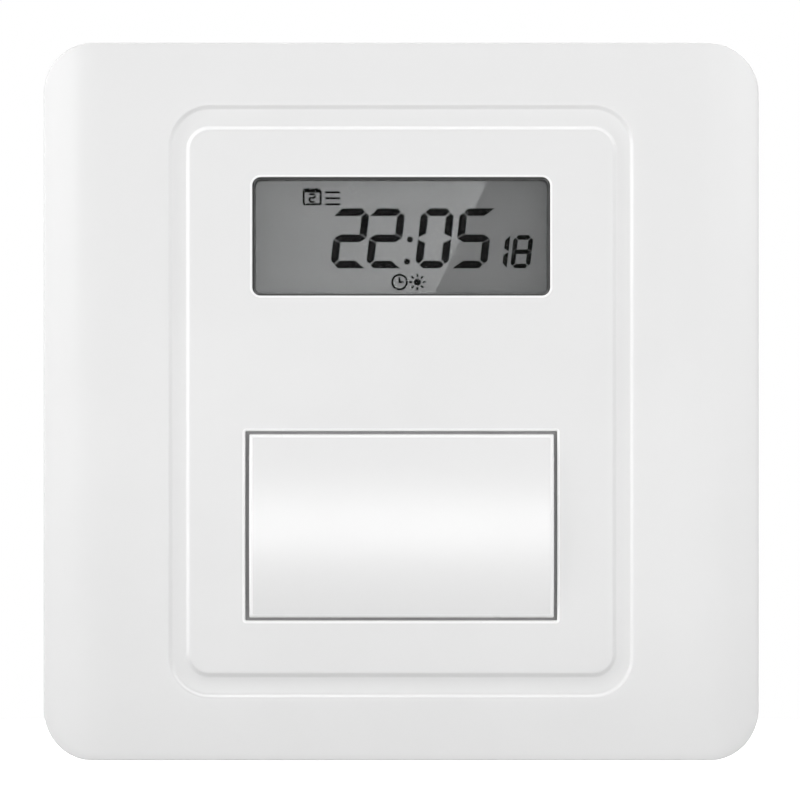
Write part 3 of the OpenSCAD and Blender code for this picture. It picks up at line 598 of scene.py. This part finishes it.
def ink_ring(mesh, centre, outer, inner, front_y, back_y, start=0, end=360):
    """Flat ring or arc, from one angle to the other in degrees."""
    turns = [radians(angle) for angle in range(start, end + RING_STEP, RING_STEP)]
    for a, b in zip(turns, turns[1:]):
        corners = [(centre[0] + r * cos(turn), centre[1] + r * sin(turn))
                   for r, turn in ((inner, a), (outer, a), (outer, b), (inner, b))]
        ink_area(mesh, corners, front_y, back_y)


def ink_bar(mesh, start, end, width, front_y, back_y):
    """Straight stroke between two points."""
    a, b = Vector(start), Vector(end)
    across = (b - a).orthogonal().normalized() * width / 2
    ink_area(mesh, [a + across, b + across, b - across, a - across], front_y, back_y)


# Lit segments of each digit, and the segments' forms as shares of their thickness
SEGMENTS = {"0": "abcdef", "1": "bc", "2": "abdeg", "5": "acdfg", "8": "abcdefg"}
CHAMFER = 0.9                   # where two lit segments meet at a corner
SLANTED_END = (0.75, -0.2)      # free left end of a top segment, at its upper and lower edge
FREE_END = 0.15                 # how far the other free ends reach out
MIDDLE_TIP = 0.07
MIDDLE_SHOULDER = 0.75


def segment_outlines(digit, width, height, thick, gap):
    """Outlines of a digit's lit segments: top a, then clockwise b to f, and g in the middle."""
    lit = SEGMENTS[digit]
    w, h, t, mid = width, height, thick, height / 2

    def tip(*needed):
        return CHAMFER * t if all(name in lit for name in needed) else 0.0

    def level(left, right, upper):
        outline = [(left + gap, h), (w - right - gap, h), (w - right / 2 - gap, h - right / 2),
                   (w - t - gap, h - t), (t + gap, h - t), (left / 2 + gap, h - left / 2)]
        return [(x, z if upper else h - z) for x, z in outline]

    def upright(end, on_right, upper):
        outline = [(end / 2, h - end / 2 - gap), (0, h - end - gap), (0, mid + gap),
                   (t, mid + t / 2 + gap), (t, h - t - gap)]
        return [(w - x if on_right else x, z if upper else h - z) for x, z in outline]
    top_l, top_r, low_l, low_r = tip("a", "f"), tip("a", "b"), tip("d", "e"), tip("d", "c")
    shapes = {"a": level(top_l, top_r, True), "d": level(low_l, low_r, False),
              "b": upright(top_r, True, True), "c": upright(low_r, True, False),
              "e": upright(low_l, False, False), "f": upright(top_l, False, True)}
    if "f" not in lit:
        upper, lower = [share * t for share in SLANTED_END]
        shapes["a"] = [(upper, h)] + shapes["a"][1:4] + [(lower, h - t)]
    if "b" not in lit:
        shapes["a"][1:3] = [(w + FREE_END * t, h)]
    if "c" not in lit:
        shapes["d"][1:3] = [(w + FREE_END * t, 0)]
    if "e" not in lit:
        shapes["d"] = [(-FREE_END * t, 0)] + shapes["d"][1:5]
    tip_in, shoulder = MIDDLE_TIP * t, MIDDLE_SHOULDER * t + gap
    shapes["g"] = [(tip_in, mid), (shoulder, mid + t / 2), (w - shoulder, mid + t / 2),
                   (w - tip_in, mid), (w - shoulder, mid - t / 2), (shoulder, mid - t / 2)]
    return [list(dict.fromkeys(shapes[name])) for name in lit]


def make_lens_edge_shade(finish):
    """Dark ring on the front of the lens, painted shade of the window's edge, with a soft inner edge."""
    mesh = bmesh.new()
    front_y, back_y = ink_faces(LENS_Y)
    section = ((EDGE_SHADE_FIT, front_y), (EDGE_SHADE_W, front_y), (EDGE_SHADE_W, back_y), (EDGE_SHADE_FIT, back_y))
    rings = skin(mesh, [rounded_loop(inset(WINDOW_HALF, step_in), WINDOW_R - step_in, y, WINDOW_Z)
                        for step_in, y in section])
    skin(mesh, [rings[-1], rings[0]])
    return new_piece("lens_edge_shade", mesh, [finish])


# Sizes of digits: width, height, thickness of a segment, and gap. Places: left edges
DIGIT_SLANT = tan(radians(6.5))
DIGIT_Z = 16.04                 # lower edge of the digits
DIGIT_SIZE = (4.0, 7.22, 0.92, 0.12)
SMALL_SIZE = (2.4, 4.0, 0.57, 0.07)
HOUR_MINUTE = (("2", -8.58), ("2", -4.28), ("0", 1.62), ("5", 6.3))
SECONDS = (("1", 10.3), ("8", 13.1))
COLON = ((1.05, 19.51), (0.70, 16.86))
COLON_R = 0.37


def make_display_digits(finish):
    """Time on the display: slanted seven-segment digits, a colon, and small seconds."""
    mesh = bmesh.new()
    faces = ink_faces(FILM_Y)
    for digits, size in ((HOUR_MINUTE, DIGIT_SIZE), (SECONDS, SMALL_SIZE)):
        for digit, left in digits:
            for outline in segment_outlines(digit, *size):
                slanted = [(left + x + z * DIGIT_SLANT, DIGIT_Z + z) for x, z in outline]
                ink_area(mesh, slanted, *faces)
    for dot in COLON:
        ink_area(mesh, circle_points(dot, COLON_R), *faces)
    return new_piece("display_digits", mesh, [finish])


MARK_LINE = 0.24
MARK_R = 1.0
CALENDAR = (-11.75, 23.75)      # lower left corner of the calendar mark
CALENDAR_SIZE = (2.05, 2.0)
CALENDAR_RINGS = (0.25, 0.75)   # shares of its width
DAY_NUMBER = ("2", 0.85, 1.15, 0.24, 0.0)
LIST_X = (-9.15, -7.35)         # ends of the lines beside the calendar
LIST_ROWS = 3
LIST_PITCH = 0.72
CLOCK_MARK = (-0.2, 14.38)
CLOCK_HANDS = (0.6, 0.5)        # shares of its radius
LAMP_MARK = (1.95, 14.38)
LAMP_CORE = 0.42                # share of its radius
LAMP_RAYS = 8
RAY_START = 0.62


def calendar_mark(mesh, faces):
    """Leaf of a calendar with the number of the day, and three lines beside it."""
    left, low = CALENDAR
    right, high = left + CALENDAR_SIZE[0], low + CALENDAR_SIZE[1]
    bar = high - 1.5 * MARK_LINE
    for z, width in ((low, MARK_LINE), (bar, 2 * MARK_LINE)):
        ink_bar(mesh, (left, z), (right, z), width, *faces)
    for x in (left, right):
        ink_bar(mesh, (x, low), (x, bar), MARK_LINE, *faces)
    for share in CALENDAR_RINGS:
        x = between(left, right, share)
        ink_bar(mesh, (x, bar), (x, high), MARK_LINE, *faces)
    width, height = DAY_NUMBER[1:3]
    start = ((left + right - width) / 2, (low + bar - MARK_LINE - height) / 2 + MARK_LINE / 4)
    for outline in segment_outlines(*DAY_NUMBER):
        ink_area(mesh, [(start[0] + x, start[1] + z) for x, z in outline], *faces)
    for row in range(LIST_ROWS):
        z = low + row * LIST_PITCH
        ink_bar(mesh, (LIST_X[0], z), (LIST_X[1], z), MARK_LINE, *faces)


def clock_mark(mesh, middle, size, line, faces):
    """Dial with two hands."""
    x, z = middle
    upright, level = [share * size for share in CLOCK_HANDS]
    ink_ring(mesh, middle, size, size - line, *faces)
    ink_bar(mesh, (x, z - line / 2), (x, z + upright), line, *faces)
    ink_bar(mesh, (x, z), (x + level, z), line, *faces)


def lamp_mark(mesh, middle, size, line, faces):
    """Round lamp with rays."""
    ink_area(mesh, circle_points(middle, LAMP_CORE * size), *faces)
    for ray in range(LAMP_RAYS):
        turn = ray * 2 * pi / LAMP_RAYS
        way = Vector((cos(turn), sin(turn))) * size
        ink_bar(mesh, Vector(middle) + RAY_START * way, Vector(middle) + way, line, *faces)


def make_display_marks(finish):
    """Plain marks on the display: a calendar, a clock and a lamp."""
    mesh = bmesh.new()
    faces = ink_faces(FILM_Y)
    calendar_mark(mesh, faces)
    clock_mark(mesh, CLOCK_MARK, MARK_R, MARK_LINE, faces)
    lamp_mark(mesh, LAMP_MARK, MARK_R, MARK_LINE, faces)
    return new_piece("display_marks", mesh, [finish])


# Plain signs on the keys, about their middles, by the key's number. The first is a clock
SIGN_CLOCK = (0.8, 0.16)        # radius and line
SIGN_LINE = 0.2
SIGN_ARCS = {5: (0.8, 120, 420), 6: (0.75, 40, 320)}    # radius, and degrees
SIGN_BARS = {2: [((x, -0.6), (x, 0.6), 0.3) for x in (-0.6, 0.0, 0.6)],
             5: [((0.0, 0.1), (0.0, 0.95), SIGN_LINE)],
             7: [((-0.55, -rise), (0.55, rise), SIGN_LINE) for rise in (-0.55, 0.55)]}
SIGN_AREAS = {3: [(-0.75, -0.5), (0.75, -0.5), (0.0, 0.7)],
              4: [(-0.75, 0.5), (0.75, 0.5), (0.0, -0.7)],
              6: [(0.2, 0.35), (0.95, 0.25), (0.55, 0.95)],
              8: circle_points((0.0, 0.0), 0.6)}


def key_sign(mesh, number, middle, faces):
    x, z = middle
    if number == 1:
        clock_mark(mesh, middle, *SIGN_CLOCK, faces)
    if number in SIGN_ARCS:
        radius, start, end = SIGN_ARCS[number]
        ink_ring(mesh, middle, radius, radius - SIGN_LINE, *faces, start, end)
    for start, end, width in SIGN_BARS.get(number, []):
        ink_bar(mesh, (x + start[0], z + start[1]), (x + end[0], z + end[1]), width, *faces)
    if number in SIGN_AREAS:
        ink_area(mesh, [(x + along, z + up) for along, up in SIGN_AREAS[number]], *faces)


def make_key_mark(number, finish):
    """Sign on a key, in the dish of its top."""
    low, high = node_box("key_cap_%d" % number)
    top = low.y + KEY_DISH
    mesh = bmesh.new()
    middle = ((low.x + high.x) / 2, (low.z + high.z) / 2)
    key_sign(mesh, number, middle, (top - KEY_INK_T, top))
    return new_piece("key_mark_%d" % number, mesh, [finish])


# Finishes

# Textures: scales per metre, and bumps with their strength and their depth in millimetres
PANE_PATCHES = 140.0
PANE_FADE = 0.985               # darker shade of a clear pane
BOARD_PATCHES = 90.0
TRACK_SCALE = 160.0
TRACK_W = 0.03
TRACK_BUMP = (0.4, 0.03)
DULL_SPOTS = 350.0
LINE_SQUEEZE = 0.06             # lines on metal run along X
LINE_BUMP = (0.4, 0.004)
LAYER_SCALE = 800.0
GRAIN_BUMP = 0.6                # strength alone


def feed(tree, value, socket):
    """Sets a plain value on a socket, or links another socket to it."""
    if isinstance(value, bpy.types.NodeSocket):
        tree.links.new(value, socket)
    else:
        socket.default_value = value


def feed_all(tree, node, values):
    for label, value in values.items():
        feed(tree, value, node.inputs[label.replace("_", " ")])


def add_node(tree, kind, **values):
    node = tree.nodes.new(kind)
    feed_all(tree, node, values)
    return node


def add_group(tree, group, **values):
    """Places a shader group, and gives its outputs."""
    node = tree.nodes.new("ShaderNodeGroup")
    node.node_tree = group
    feed_all(tree, node, values)
    return node.outputs


def object_place(tree):
    return tree.nodes.new("ShaderNodeTexCoord").outputs["Object"]


def noise(tree, vector, scale, detail):
    return add_node(tree, "ShaderNodeTexNoise", Vector=vector, Scale=scale, Detail=detail).outputs["Fac"]


def stretch(tree, value, low, high, to_low=0.0, to_high=1.0):
    """Maps a value from one range to another."""
    node = add_node(tree, "ShaderNodeMapRange", Value=value, From_Min=low, From_Max=high,
                    To_Min=to_low, To_Max=to_high)
    return node.outputs["Result"]


def calculate(tree, operation, first, second=0.0):
    """Math node on sockets or plain numbers."""
    node = tree.nodes.new("ShaderNodeMath")
    node.operation = operation
    for socket, value in zip(node.inputs, (first, second)):
        feed(tree, value, socket)
    return node.outputs[0]


def shades(tree, factor, first, second):
    """Mixes two colours by a factor. A colour is three numbers or a socket."""
    node = tree.nodes.new("ShaderNodeMix")
    node.data_type = "RGBA"
    sockets = [socket for socket in node.inputs if socket.type == "RGBA"]
    for socket, colour in zip(sockets, (first, second)):
        feed(tree, colour if isinstance(colour, bpy.types.NodeSocket) else (*colour, 1.0), socket)
    tree.links.new(factor, node.inputs[0])
    return [socket for socket in node.outputs if socket.type == "RGBA"][0]


def new_group(name, inputs, outputs):
    """Empty shader group with named number sockets."""
    tree = bpy.data.node_groups.new(name, "ShaderNodeTree")
    for label, value in inputs.items():
        socket = tree.interface.new_socket(label, in_out="INPUT", socket_type="NodeSocketFloat")
        socket.default_value = value
    for label in outputs:
        tree.interface.new_socket(label, in_out="OUTPUT", socket_type="NodeSocketFloat")
    return tree, tree.nodes.new("NodeGroupInput").outputs, tree.nodes.new("NodeGroupOutput")


def moulded_surface_group():
    """Fine mould grain and slow cloudy patches, in object space."""
    tree, given, made = new_group("Moulded surface", {"Grain scale": 5000.0, "Patch scale": 60.0},
                                  ["Grain", "Patch"])
    place = object_place(tree)
    grain = noise(tree, place, given["Grain scale"], 2.0)
    patch = noise(tree, place, given["Patch scale"], 4.0)
    feed_all(tree, made, {"Grain": grain, "Patch": stretch(tree, patch, 0.3, 0.7)})
    return tree


def drawn_metal_group():
    """Fine lines along X from rolling or drawing, with a few dull spots."""
    tree, given, made = new_group("Drawn metal", {"Line scale": 900.0}, ["Lines", "Dull"])
    place = object_place(tree)
    squeeze = add_node(tree, "ShaderNodeMapping", Vector=place, Scale=(LINE_SQUEEZE, 1.0, 1.0))
    lines = noise(tree, squeeze.outputs["Vector"], given["Line scale"], 3.0)
    dull = noise(tree, place, DULL_SPOTS, 3.0)
    feed_all(tree, made, {"Lines": lines, "Dull": stretch(tree, dull, 0.35, 0.7)})
    return tree


MOULDED_SURFACE = moulded_surface_group()
DRAWN_METAL = drawn_metal_group()


def new_material(name, **plain):
    """Material with plain values on the shader's own sockets."""
    finish = bpy.data.materials.new(name)
    finish.use_nodes = True
    shader = finish.node_tree.nodes["Principled BSDF"]
    feed_all(finish.node_tree, shader, plain)
    return finish, finish.node_tree, shader


def paint(tree, shader, mask, first, second):
    tree.links.new(shades(tree, mask, first, second), shader.inputs["Base Color"])


def gloss(tree, shader, mask, rough):
    tree.links.new(stretch(tree, mask, 0.0, 1.0, *rough), shader.inputs["Roughness"])


def bump(tree, shader, height, strength, depth):
    node = add_node(tree, "ShaderNodeBump", Height=height, Strength=strength, Distance=depth * MM)
    tree.links.new(node.outputs["Normal"], shader.inputs["Normal"])


def moulded(name, light, dark, rough, texture, **plain):
    """Moulded plastic: two close shades in slow patches, uneven gloss and a fine grain."""
    finish, tree, shader = new_material(name, **plain)
    grain_mm, grain_depth, patch_mm = texture
    surface = add_group(tree, MOULDED_SURFACE, Grain_scale=1 / (grain_mm * MM),
                        Patch_scale=1 / (patch_mm * MM))
    paint(tree, shader, surface["Patch"], light, dark)
    gloss(tree, shader, surface["Patch"], rough)
    bump(tree, shader, surface["Grain"], GRAIN_BUMP, grain_depth)
    return finish


def metal(name, light, dark, rough, line_mm=0.35):
    """Plated or drawn metal with fine lines and dull spots."""
    finish, tree, shader = new_material(name, Metallic=1.0)
    surface = add_group(tree, DRAWN_METAL, Line_scale=1 / (line_mm * MM))
    paint(tree, shader, surface["Dull"], light, dark)
    gloss(tree, shader, surface["Dull"], rough)
    bump(tree, shader, surface["Lines"], *LINE_BUMP)
    return finish


def grey(level):
    return (level, level, level)


def let_lamps_through(tree, shader):
    """Lamps shine through the pane, so what lies behind it is lit."""
    path = tree.nodes.new("ShaderNodeLightPath")
    clear = tree.nodes.new("ShaderNodeBsdfTransparent")
    mix = add_node(tree, "ShaderNodeMixShader", Fac=path.outputs["Is Shadow Ray"])
    tree.links.new(shader.outputs["BSDF"], mix.inputs[1])
    tree.links.new(clear.outputs["BSDF"], mix.inputs[2])
    tree.links.new(mix.outputs["Shader"], tree.nodes["Material Output"].inputs["Surface"])


def clear_pane(name, tint, ior):
    """Clear polished sheet with a faint uneven tint."""
    finish, tree, shader = new_material(name, Transmission_Weight=1.0, IOR=ior, Roughness=0.0)
    surface = add_group(tree, MOULDED_SURFACE, Patch_scale=PANE_PATCHES)
    paint(tree, shader, surface["Patch"], tint, [PANE_FADE * c for c in tint])
    let_lamps_through(tree, shader)
    return finish


def painted_edge_shade():
    """Painted shade of the window's edge: dark at the edge and lighter towards the middle of the lens."""
    finish, tree, shader = new_material("painted_edge_shade", Specular_IOR_Level=0.1)
    split = add_node(tree, "ShaderNodeSeparateXYZ", Vector=object_place(tree))
    height = calculate(tree, "SUBTRACT", split.outputs["Z"], WINDOW_Z * MM)
    past_edge = [calculate(tree, "SUBTRACT", calculate(tree, "ABSOLUTE", place), half * MM)
                 for place, half in zip((split.outputs["X"], height), WINDOW_HALF)]
    outermost = calculate(tree, "MAXIMUM", *past_edge)
    # Dark at the window's edge and lighter inwards: painted shade
    fade = stretch(tree, outermost, -EDGE_SHADE_W * MM, -EDGE_SHADE_CORE * MM)
    paint(tree, shader, fade, grey(0.16), grey(0.035))
    gloss(tree, shader, fade, (0.6, 0.7))
    return finish


def circuit_board():
    """Green solder mask over copper tracks."""
    finish, tree, shader = new_material("solder_mask")
    turn = add_node(tree, "ShaderNodeMapping", Vector=object_place(tree), Rotation=(pi / 2, 0, 0))
    bricks = add_node(tree, "ShaderNodeTexBrick", Vector=turn.outputs["Vector"], Scale=TRACK_SCALE,
                      Mortar_Size=TRACK_W)
    tracks = bricks.outputs["Fac"]
    patch = add_group(tree, MOULDED_SURFACE, Patch_scale=BOARD_PATCHES)["Patch"]
    green = shades(tree, patch, (0.02, 0.19, 0.07), (0.015, 0.15, 0.055))
    paint(tree, shader, tracks, green, (0.05, 0.3, 0.12))
    gloss(tree, shader, patch, (0.3, 0.42))
    bump(tree, shader, tracks, *TRACK_BUMP)
    return finish


def contact_rubber():
    """Soft strip of thin dark and pale layers."""
    finish, tree, shader = new_material("contact_rubber")
    wave = add_node(tree, "ShaderNodeTexWave", Vector=object_place(tree), Scale=LAYER_SCALE)
    paint(tree, shader, wave.outputs["Fac"], (0.55, 0.2, 0.2), grey(0.05))
    gloss(tree, shader, wave.outputs["Fac"], (0.6, 0.75))
    return finish


# Moulded plastic: two shades, range of roughness, and grain size, grain depth and patch size in mm
WHITE = moulded("satin_white", grey(0.80), grey(0.785), (0.2, 0.26), (0.25, 0.002, 18.0))
WHITE_DOOR = moulded("polished_white", grey(0.845), grey(0.83), (0.2, 0.24), (0.3, 0.001, 18.0),
                     Coat_Weight=1.0, Coat_Roughness=0.2)
# Lighter white for the rims and the door's edge: a painted highlight
PAINTED_HIGHLIGHT_WHITE = moulded("painted_highlight_edge", grey(0.95), grey(0.93), (0.25, 0.32), (0.3, 0.001, 18.0))
# Grey on the door's lip and pins: painted shade in the gap round the door
GAP_PAINTED_SHADE = moulded("painted_gap_shade", grey(0.36), grey(0.3), (0.7, 0.8), (0.15, 0.01, 3.0),
                   Specular_IOR_Level=0.1)
HOUSING = moulded("textured_housing", (0.74, 0.74, 0.72), (0.7, 0.7, 0.68), (0.5, 0.6), (0.35, 0.02, 18.0))
KEY_PANEL = moulded("panel_grey", (0.62, 0.62, 0.6), (0.58, 0.58, 0.57), (0.45, 0.55), (0.3, 0.012, 18.0))
KEY = moulded("key_grey", (0.28, 0.29, 0.3), (0.25, 0.26, 0.27), (0.38, 0.48), (0.2, 0.006, 6.0))
KEY_INK = moulded("key_print", grey(0.85), grey(0.8), (0.4, 0.5), (0.1, 0.002, 3.0))
BLACK = moulded("moulded_black", grey(0.022), grey(0.016), (0.4, 0.55), (0.2, 0.008, 5.0))
FILM = moulded("display_film", grey(0.056), grey(0.052), (0.5, 0.6), (0.12, 0.0003, 9.0),
               Specular_IOR_Level=0.0, Coat_Weight=1.0, Coat_Roughness=0.0, Coat_IOR=1.8)
DISPLAY_INK = moulded("display_segment", grey(0.005), grey(0.004), (0.7, 0.8), (0.15, 0.0003, 4.0),
                      Specular_IOR_Level=0.0)
# Painted shade round the edge of the window
EDGE_SHADE_PAINT = painted_edge_shade()
LENS = clear_pane("clear_lens", (0.97, 0.98, 0.98), 1.06)
GLASS = clear_pane("display_glass", (0.9, 0.94, 0.92), 1.5)
REFLECTOR = metal("reflector_film", grey(0.62), grey(0.55), (0.35, 0.45), line_mm=0.1)
STEEL = metal("plated_steel", (0.62, 0.62, 0.64), (0.5, 0.5, 0.52), (0.25, 0.4))
BRASS = metal("plain_brass", (0.78, 0.57, 0.25), (0.6, 0.42, 0.18), (0.28, 0.42))
RELAY = moulded("relay_blue", (0.03, 0.1, 0.42), (0.025, 0.08, 0.36), (0.3, 0.4), (0.25, 0.006, 8.0))
FILM_CASE = moulded("capacitor_yellow", (0.62, 0.35, 0.04), (0.55, 0.3, 0.03), (0.3, 0.4),
                    (0.25, 0.006, 8.0))
SLEEVE = moulded("capacitor_sleeve", (0.012, 0.015, 0.06), (0.01, 0.012, 0.05), (0.22, 0.32),
                 (0.3, 0.002, 5.0))
VARISTOR = moulded("dipped_blue", (0.04, 0.17, 0.42), (0.03, 0.14, 0.36), (0.28, 0.4), (0.6, 0.02, 4.0))
CERAMIC = moulded("coated_ceramic", (0.52, 0.4, 0.24), (0.45, 0.34, 0.2), (0.5, 0.62), (0.4, 0.015, 4.0))
TERMINAL = moulded("terminal_grey", (0.16, 0.165, 0.17), (0.14, 0.145, 0.15), (0.42, 0.52),
                   (0.25, 0.01, 7.0))
BOARD = circuit_board()
RUBBER = contact_rubber()

SLOT_FINISH = {
    "white_plastic": WHITE, "housing_plastic": HOUSING, "clear_lens": LENS,
    "display_glass": GLASS, "polariser_film": FILM, "reflector_film": REFLECTOR,
    "contact_rubber": RUBBER, "circuit_board": BOARD, "grey_plastic": KEY_PANEL,
    "key_plastic": KEY, "black_plastic": BLACK, "steel": STEEL, "brass": BRASS,
    "relay_case": RELAY, "film_case": FILM_CASE, "capacitor_sleeve": SLEEVE,
    "varistor_coat": VARISTOR, "resistor_ceramic": CERAMIC, "terminal_plastic": TERMINAL}

for part in frame["record"]["subparts"]:
    solid = frame["nodes"][part["node"]]
    solid.data.materials.clear()
    solid.data.materials.append(SLOT_FINISH[part["material_slot"]])

plate = make_face_plate(WHITE, PAINTED_HIGHLIGHT_WHITE)
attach(plate, "base")
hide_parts("face_plate")

door = make_door(WHITE_DOOR, GAP_PAINTED_SHADE, PAINTED_HIGHLIGHT_WHITE, WHITE)
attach(door, "door")
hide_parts("door")

for piece in (make_display_digits(DISPLAY_INK), make_display_marks(DISPLAY_INK)):
    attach(piece, "base")

border = make_lens_edge_shade(EDGE_SHADE_PAINT)
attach(border, "base")

for number in range(1, KEY_COUNT + 1):
    key = make_key(number, KEY)
    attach(key, "key_%d" % number)
    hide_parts("key_cap_%d" % number)
    mark = make_key_mark(number, KEY_INK)
    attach(mark, "key_%d" % number)


# Camera: square on to the plate, from far enough for a nearly flat view

LENS_LENGTH = 200.0
SENSOR = 36.0
PIXELS = 800
PIXELS_PER_MM = 8.318           # scale of the photograph at the plate's edge
PLATE_CENTRE = (401.2, 401.57)  # pixel at the middle of the plate
PLATE_EDGE_Y = FRONT_Y + BOW_DROP
CAMERA_FAR = PIXELS / PIXELS_PER_MM * LENS_LENGTH / SENSOR
CAMERA_X = (PIXELS / 2 - PLATE_CENTRE[0]) / PIXELS_PER_MM
CAMERA_Z = (PLATE_CENTRE[1] - PIXELS / 2) / PIXELS_PER_MM
CAMERA_Y = PLATE_EDGE_Y - CAMERA_FAR


def make_camera():
    data = bpy.data.cameras.new("camera")
    data.lens = LENS_LENGTH
    data.sensor_width = SENSOR
    camera = add_object("camera", data)
    camera.location = Vector((CAMERA_X, CAMERA_Y, CAMERA_Z)) * MM
    camera.rotation_euler = (pi / 2, 0, 0)
    bpy.context.scene.camera = camera


make_camera()


# Studio: white surround, pale floor, soft lamps, and cards that only gloss and clear panes see

FRONT_FILL = 0.6                # light that the surround gives to matt surfaces, from the front
BACK_FILL = 0.33                # and from behind

FLOOR_Z = -62.0
FLOOR_R = 330.0
FLOOR_SIDES = 64
FLOOR_RINGS = (1.0, 0.75, 0.5, 0.25, 0.05)
FLOOR_GLOW = (0.5, 1.0)         # how bright the floor itself shows, below the object and at its edge
FLOOR_GLOW_START = 100.0

# Name, place and size in metres, watts, and whether gloss shows the lamp
LAMPS = (
    ("left_softbox", (-0.64, -0.64, 0.0), (0.5, 0.5), 1.75, True),
    ("right_softbox", (0.66, -0.62, 0.0), (0.7, 0.7), 3.6, True),
    ("left_strip_lamp", (-0.875, -0.21, 0.0), (0.19, 0.65), 3.3, False),
    ("top_lamp", (0.0, -0.248, 0.865), (0.22, 0.22), 0.8, False),
    ("back_softbox", (0.35, 0.75, 0.45), (0.5, 0.5), 4.0, True))

# Flat cards behind the camera: corners in X and Z, and how bright they are from one end of a span
# along X to the other
CARD_SPAN = (-900, 900)
CARD_Y = CAMERA_Y - 10
BAND_CORNERS = ((-400, -85), (400, -85), (400, 20), (-400, 20))
BAND_GLOW = (3.7, 3.7)
SIDE_CARD_Y = CARD_Y - 5
SIDE_CORNERS = ((150, -350), (430, -350), (430, 350), (150, 350))
SIDE_GLOW = (2.3, 2.3)
GLARE_CORNERS = ((-150, 22), (6.4, 22), (25.0, 62), (-150, 62))
GLARE_GLOW = (1.75, 2.45)
GLARE_SPAN = (-40, 20)

# Bent card round the face
EDGE_LEAN = (70.5, 82.5)        # degrees away from straight in front of the face
EDGE_TURN = (15.0, 190.0)       # degrees round the face, from the right over the top to the left
EDGE_STEPS = 24
EDGE_FAR = 900.0
EDGE_GLOW = (7.5, 7.5)


def soft_lamp(name, place, size, power, in_gloss):
    """Rectangular lamp that points at the object."""
    data = bpy.data.lights.new(name, "AREA")
    data.shape = "RECTANGLE"
    data.size, data.size_y = size
    data.energy = power
    lamp = add_object(name, data)
    lamp.location = place
    lamp.rotation_euler = (Vector((0, 0, 0)) - Vector(place)).to_track_quat("-Z", "Y").to_euler()
    lamp.visible_glossy = in_gloss


def seen_rays(tree):
    """One for rays from the camera, from gloss and through glass, and zero for other rays."""
    path = tree.nodes.new("ShaderNodeLightPath")
    seen = calculate(tree, "MAXIMUM", path.outputs["Is Camera Ray"], path.outputs["Is Glossy Ray"])
    return calculate(tree, "MAXIMUM", seen, path.outputs["Is Transmission Ray"])


def white_surround():
    """White to the camera, in gloss and through glass, and dimmer as a light."""
    world = bpy.data.worlds.new("surround")
    bpy.context.scene.world = world
    world.use_nodes = True
    tree = world.node_tree
    way = tree.nodes.new("ShaderNodeTexCoord").outputs["Generated"]
    split = add_node(tree, "ShaderNodeSeparateXYZ", Vector=way)
    fill = stretch(tree, split.outputs["Y"], -1.0, 1.0, FRONT_FILL, BACK_FILL)
    level = add_node(tree, "ShaderNodeMix", Factor=seen_rays(tree), A=fill, B=1.0)
    feed_all(tree, tree.nodes["Background"], {"Color": (1, 1, 1, 1), "Strength": level.outputs["Result"]})


def make_floor():
    """Round pale floor that fades to the white surround at its edge and keeps the shadow."""
    mesh = bmesh.new()
    loops = [[Vector((x, y, FLOOR_Z)) for x, y in circle_points((0, 0), FLOOR_R * share, FLOOR_SIDES)]
             for share in FLOOR_RINGS]
    close_ring(mesh, skin(mesh, loops)[-1])
    finish, tree, shader = new_material("pale_floor", Base_Color=(0.5, 0.5, 0.5, 1), Roughness=0.9,
                                        Emission_Color=(1, 1, 1, 1))
    length = add_node(tree, "ShaderNodeVectorMath", Vector=object_place(tree))
    length.operation = "LENGTH"
    glow = stretch(tree, length.outputs["Value"], FLOOR_GLOW_START * MM, FLOOR_R * MM, *FLOOR_GLOW)
    seen = calculate(tree, "MULTIPLY", glow, seen_rays(tree))
    tree.links.new(seen, shader.inputs["Emission Strength"])
    floor = new_piece("floor", mesh, [finish])


def gloss_card(name, mesh, glow, span=CARD_SPAN):
    """Card that only gloss and clear panes see."""
    finish, tree, shader = new_material(name)
    tree.nodes.remove(shader)
    split = add_node(tree, "ShaderNodeSeparateXYZ", Vector=object_place(tree))
    level = stretch(tree, split.outputs["X"], span[0] * MM, span[1] * MM, *glow)
    light = add_node(tree, "ShaderNodeEmission", Strength=level)
    tree.links.new(light.outputs[0], tree.nodes["Material Output"].inputs["Surface"])
    card = new_piece(name, mesh, [finish])
    for ray in ("camera", "diffuse", "volume_scatter", "shadow"):
        setattr(card, "visible_" + ray, False)


def flat_card(name, corners, y, glow, span=CARD_SPAN):
    """Flat card behind the camera."""
    mesh = bmesh.new()
    close_ring(mesh, [mesh.verts.new(Vector((x, y, z)) * MM) for x, z in corners])
    gloss_card(name, mesh, glow, span)


def edge_card():
    """Bent strip round the left and the top of the face, for the bright lines along its edges."""
    def place(turn, lean):
        return Vector((sin(lean) * cos(turn), -cos(lean), sin(lean) * sin(turn))) * EDGE_FAR * MM
    turns = [radians(between(*EDGE_TURN, i / EDGE_STEPS)) for i in range(EDGE_STEPS + 1)]
    leans = [radians(lean) for lean in EDGE_LEAN]
    mesh = bmesh.new()
    near, far = [[mesh.verts.new(place(turn, lean)) for turn in turns] for lean in leans]
    for i in range(EDGE_STEPS):
        mesh.faces.new((near[i], near[i + 1], far[i + 1], far[i]))
    gloss_card("edge_card", mesh, EDGE_GLOW)


white_surround()
make_floor()
for lamp in LAMPS:
    soft_lamp(*lamp)
flat_card("band_card", BAND_CORNERS, CARD_Y, BAND_GLOW)
flat_card("side_card", SIDE_CORNERS, SIDE_CARD_Y, SIDE_GLOW)
edge_card()
flat_card("glare_card", GLARE_CORNERS, CARD_Y, GLARE_GLOW, GLARE_SPAN)

bpy.context.scene.view_settings.view_transform = "Standard"
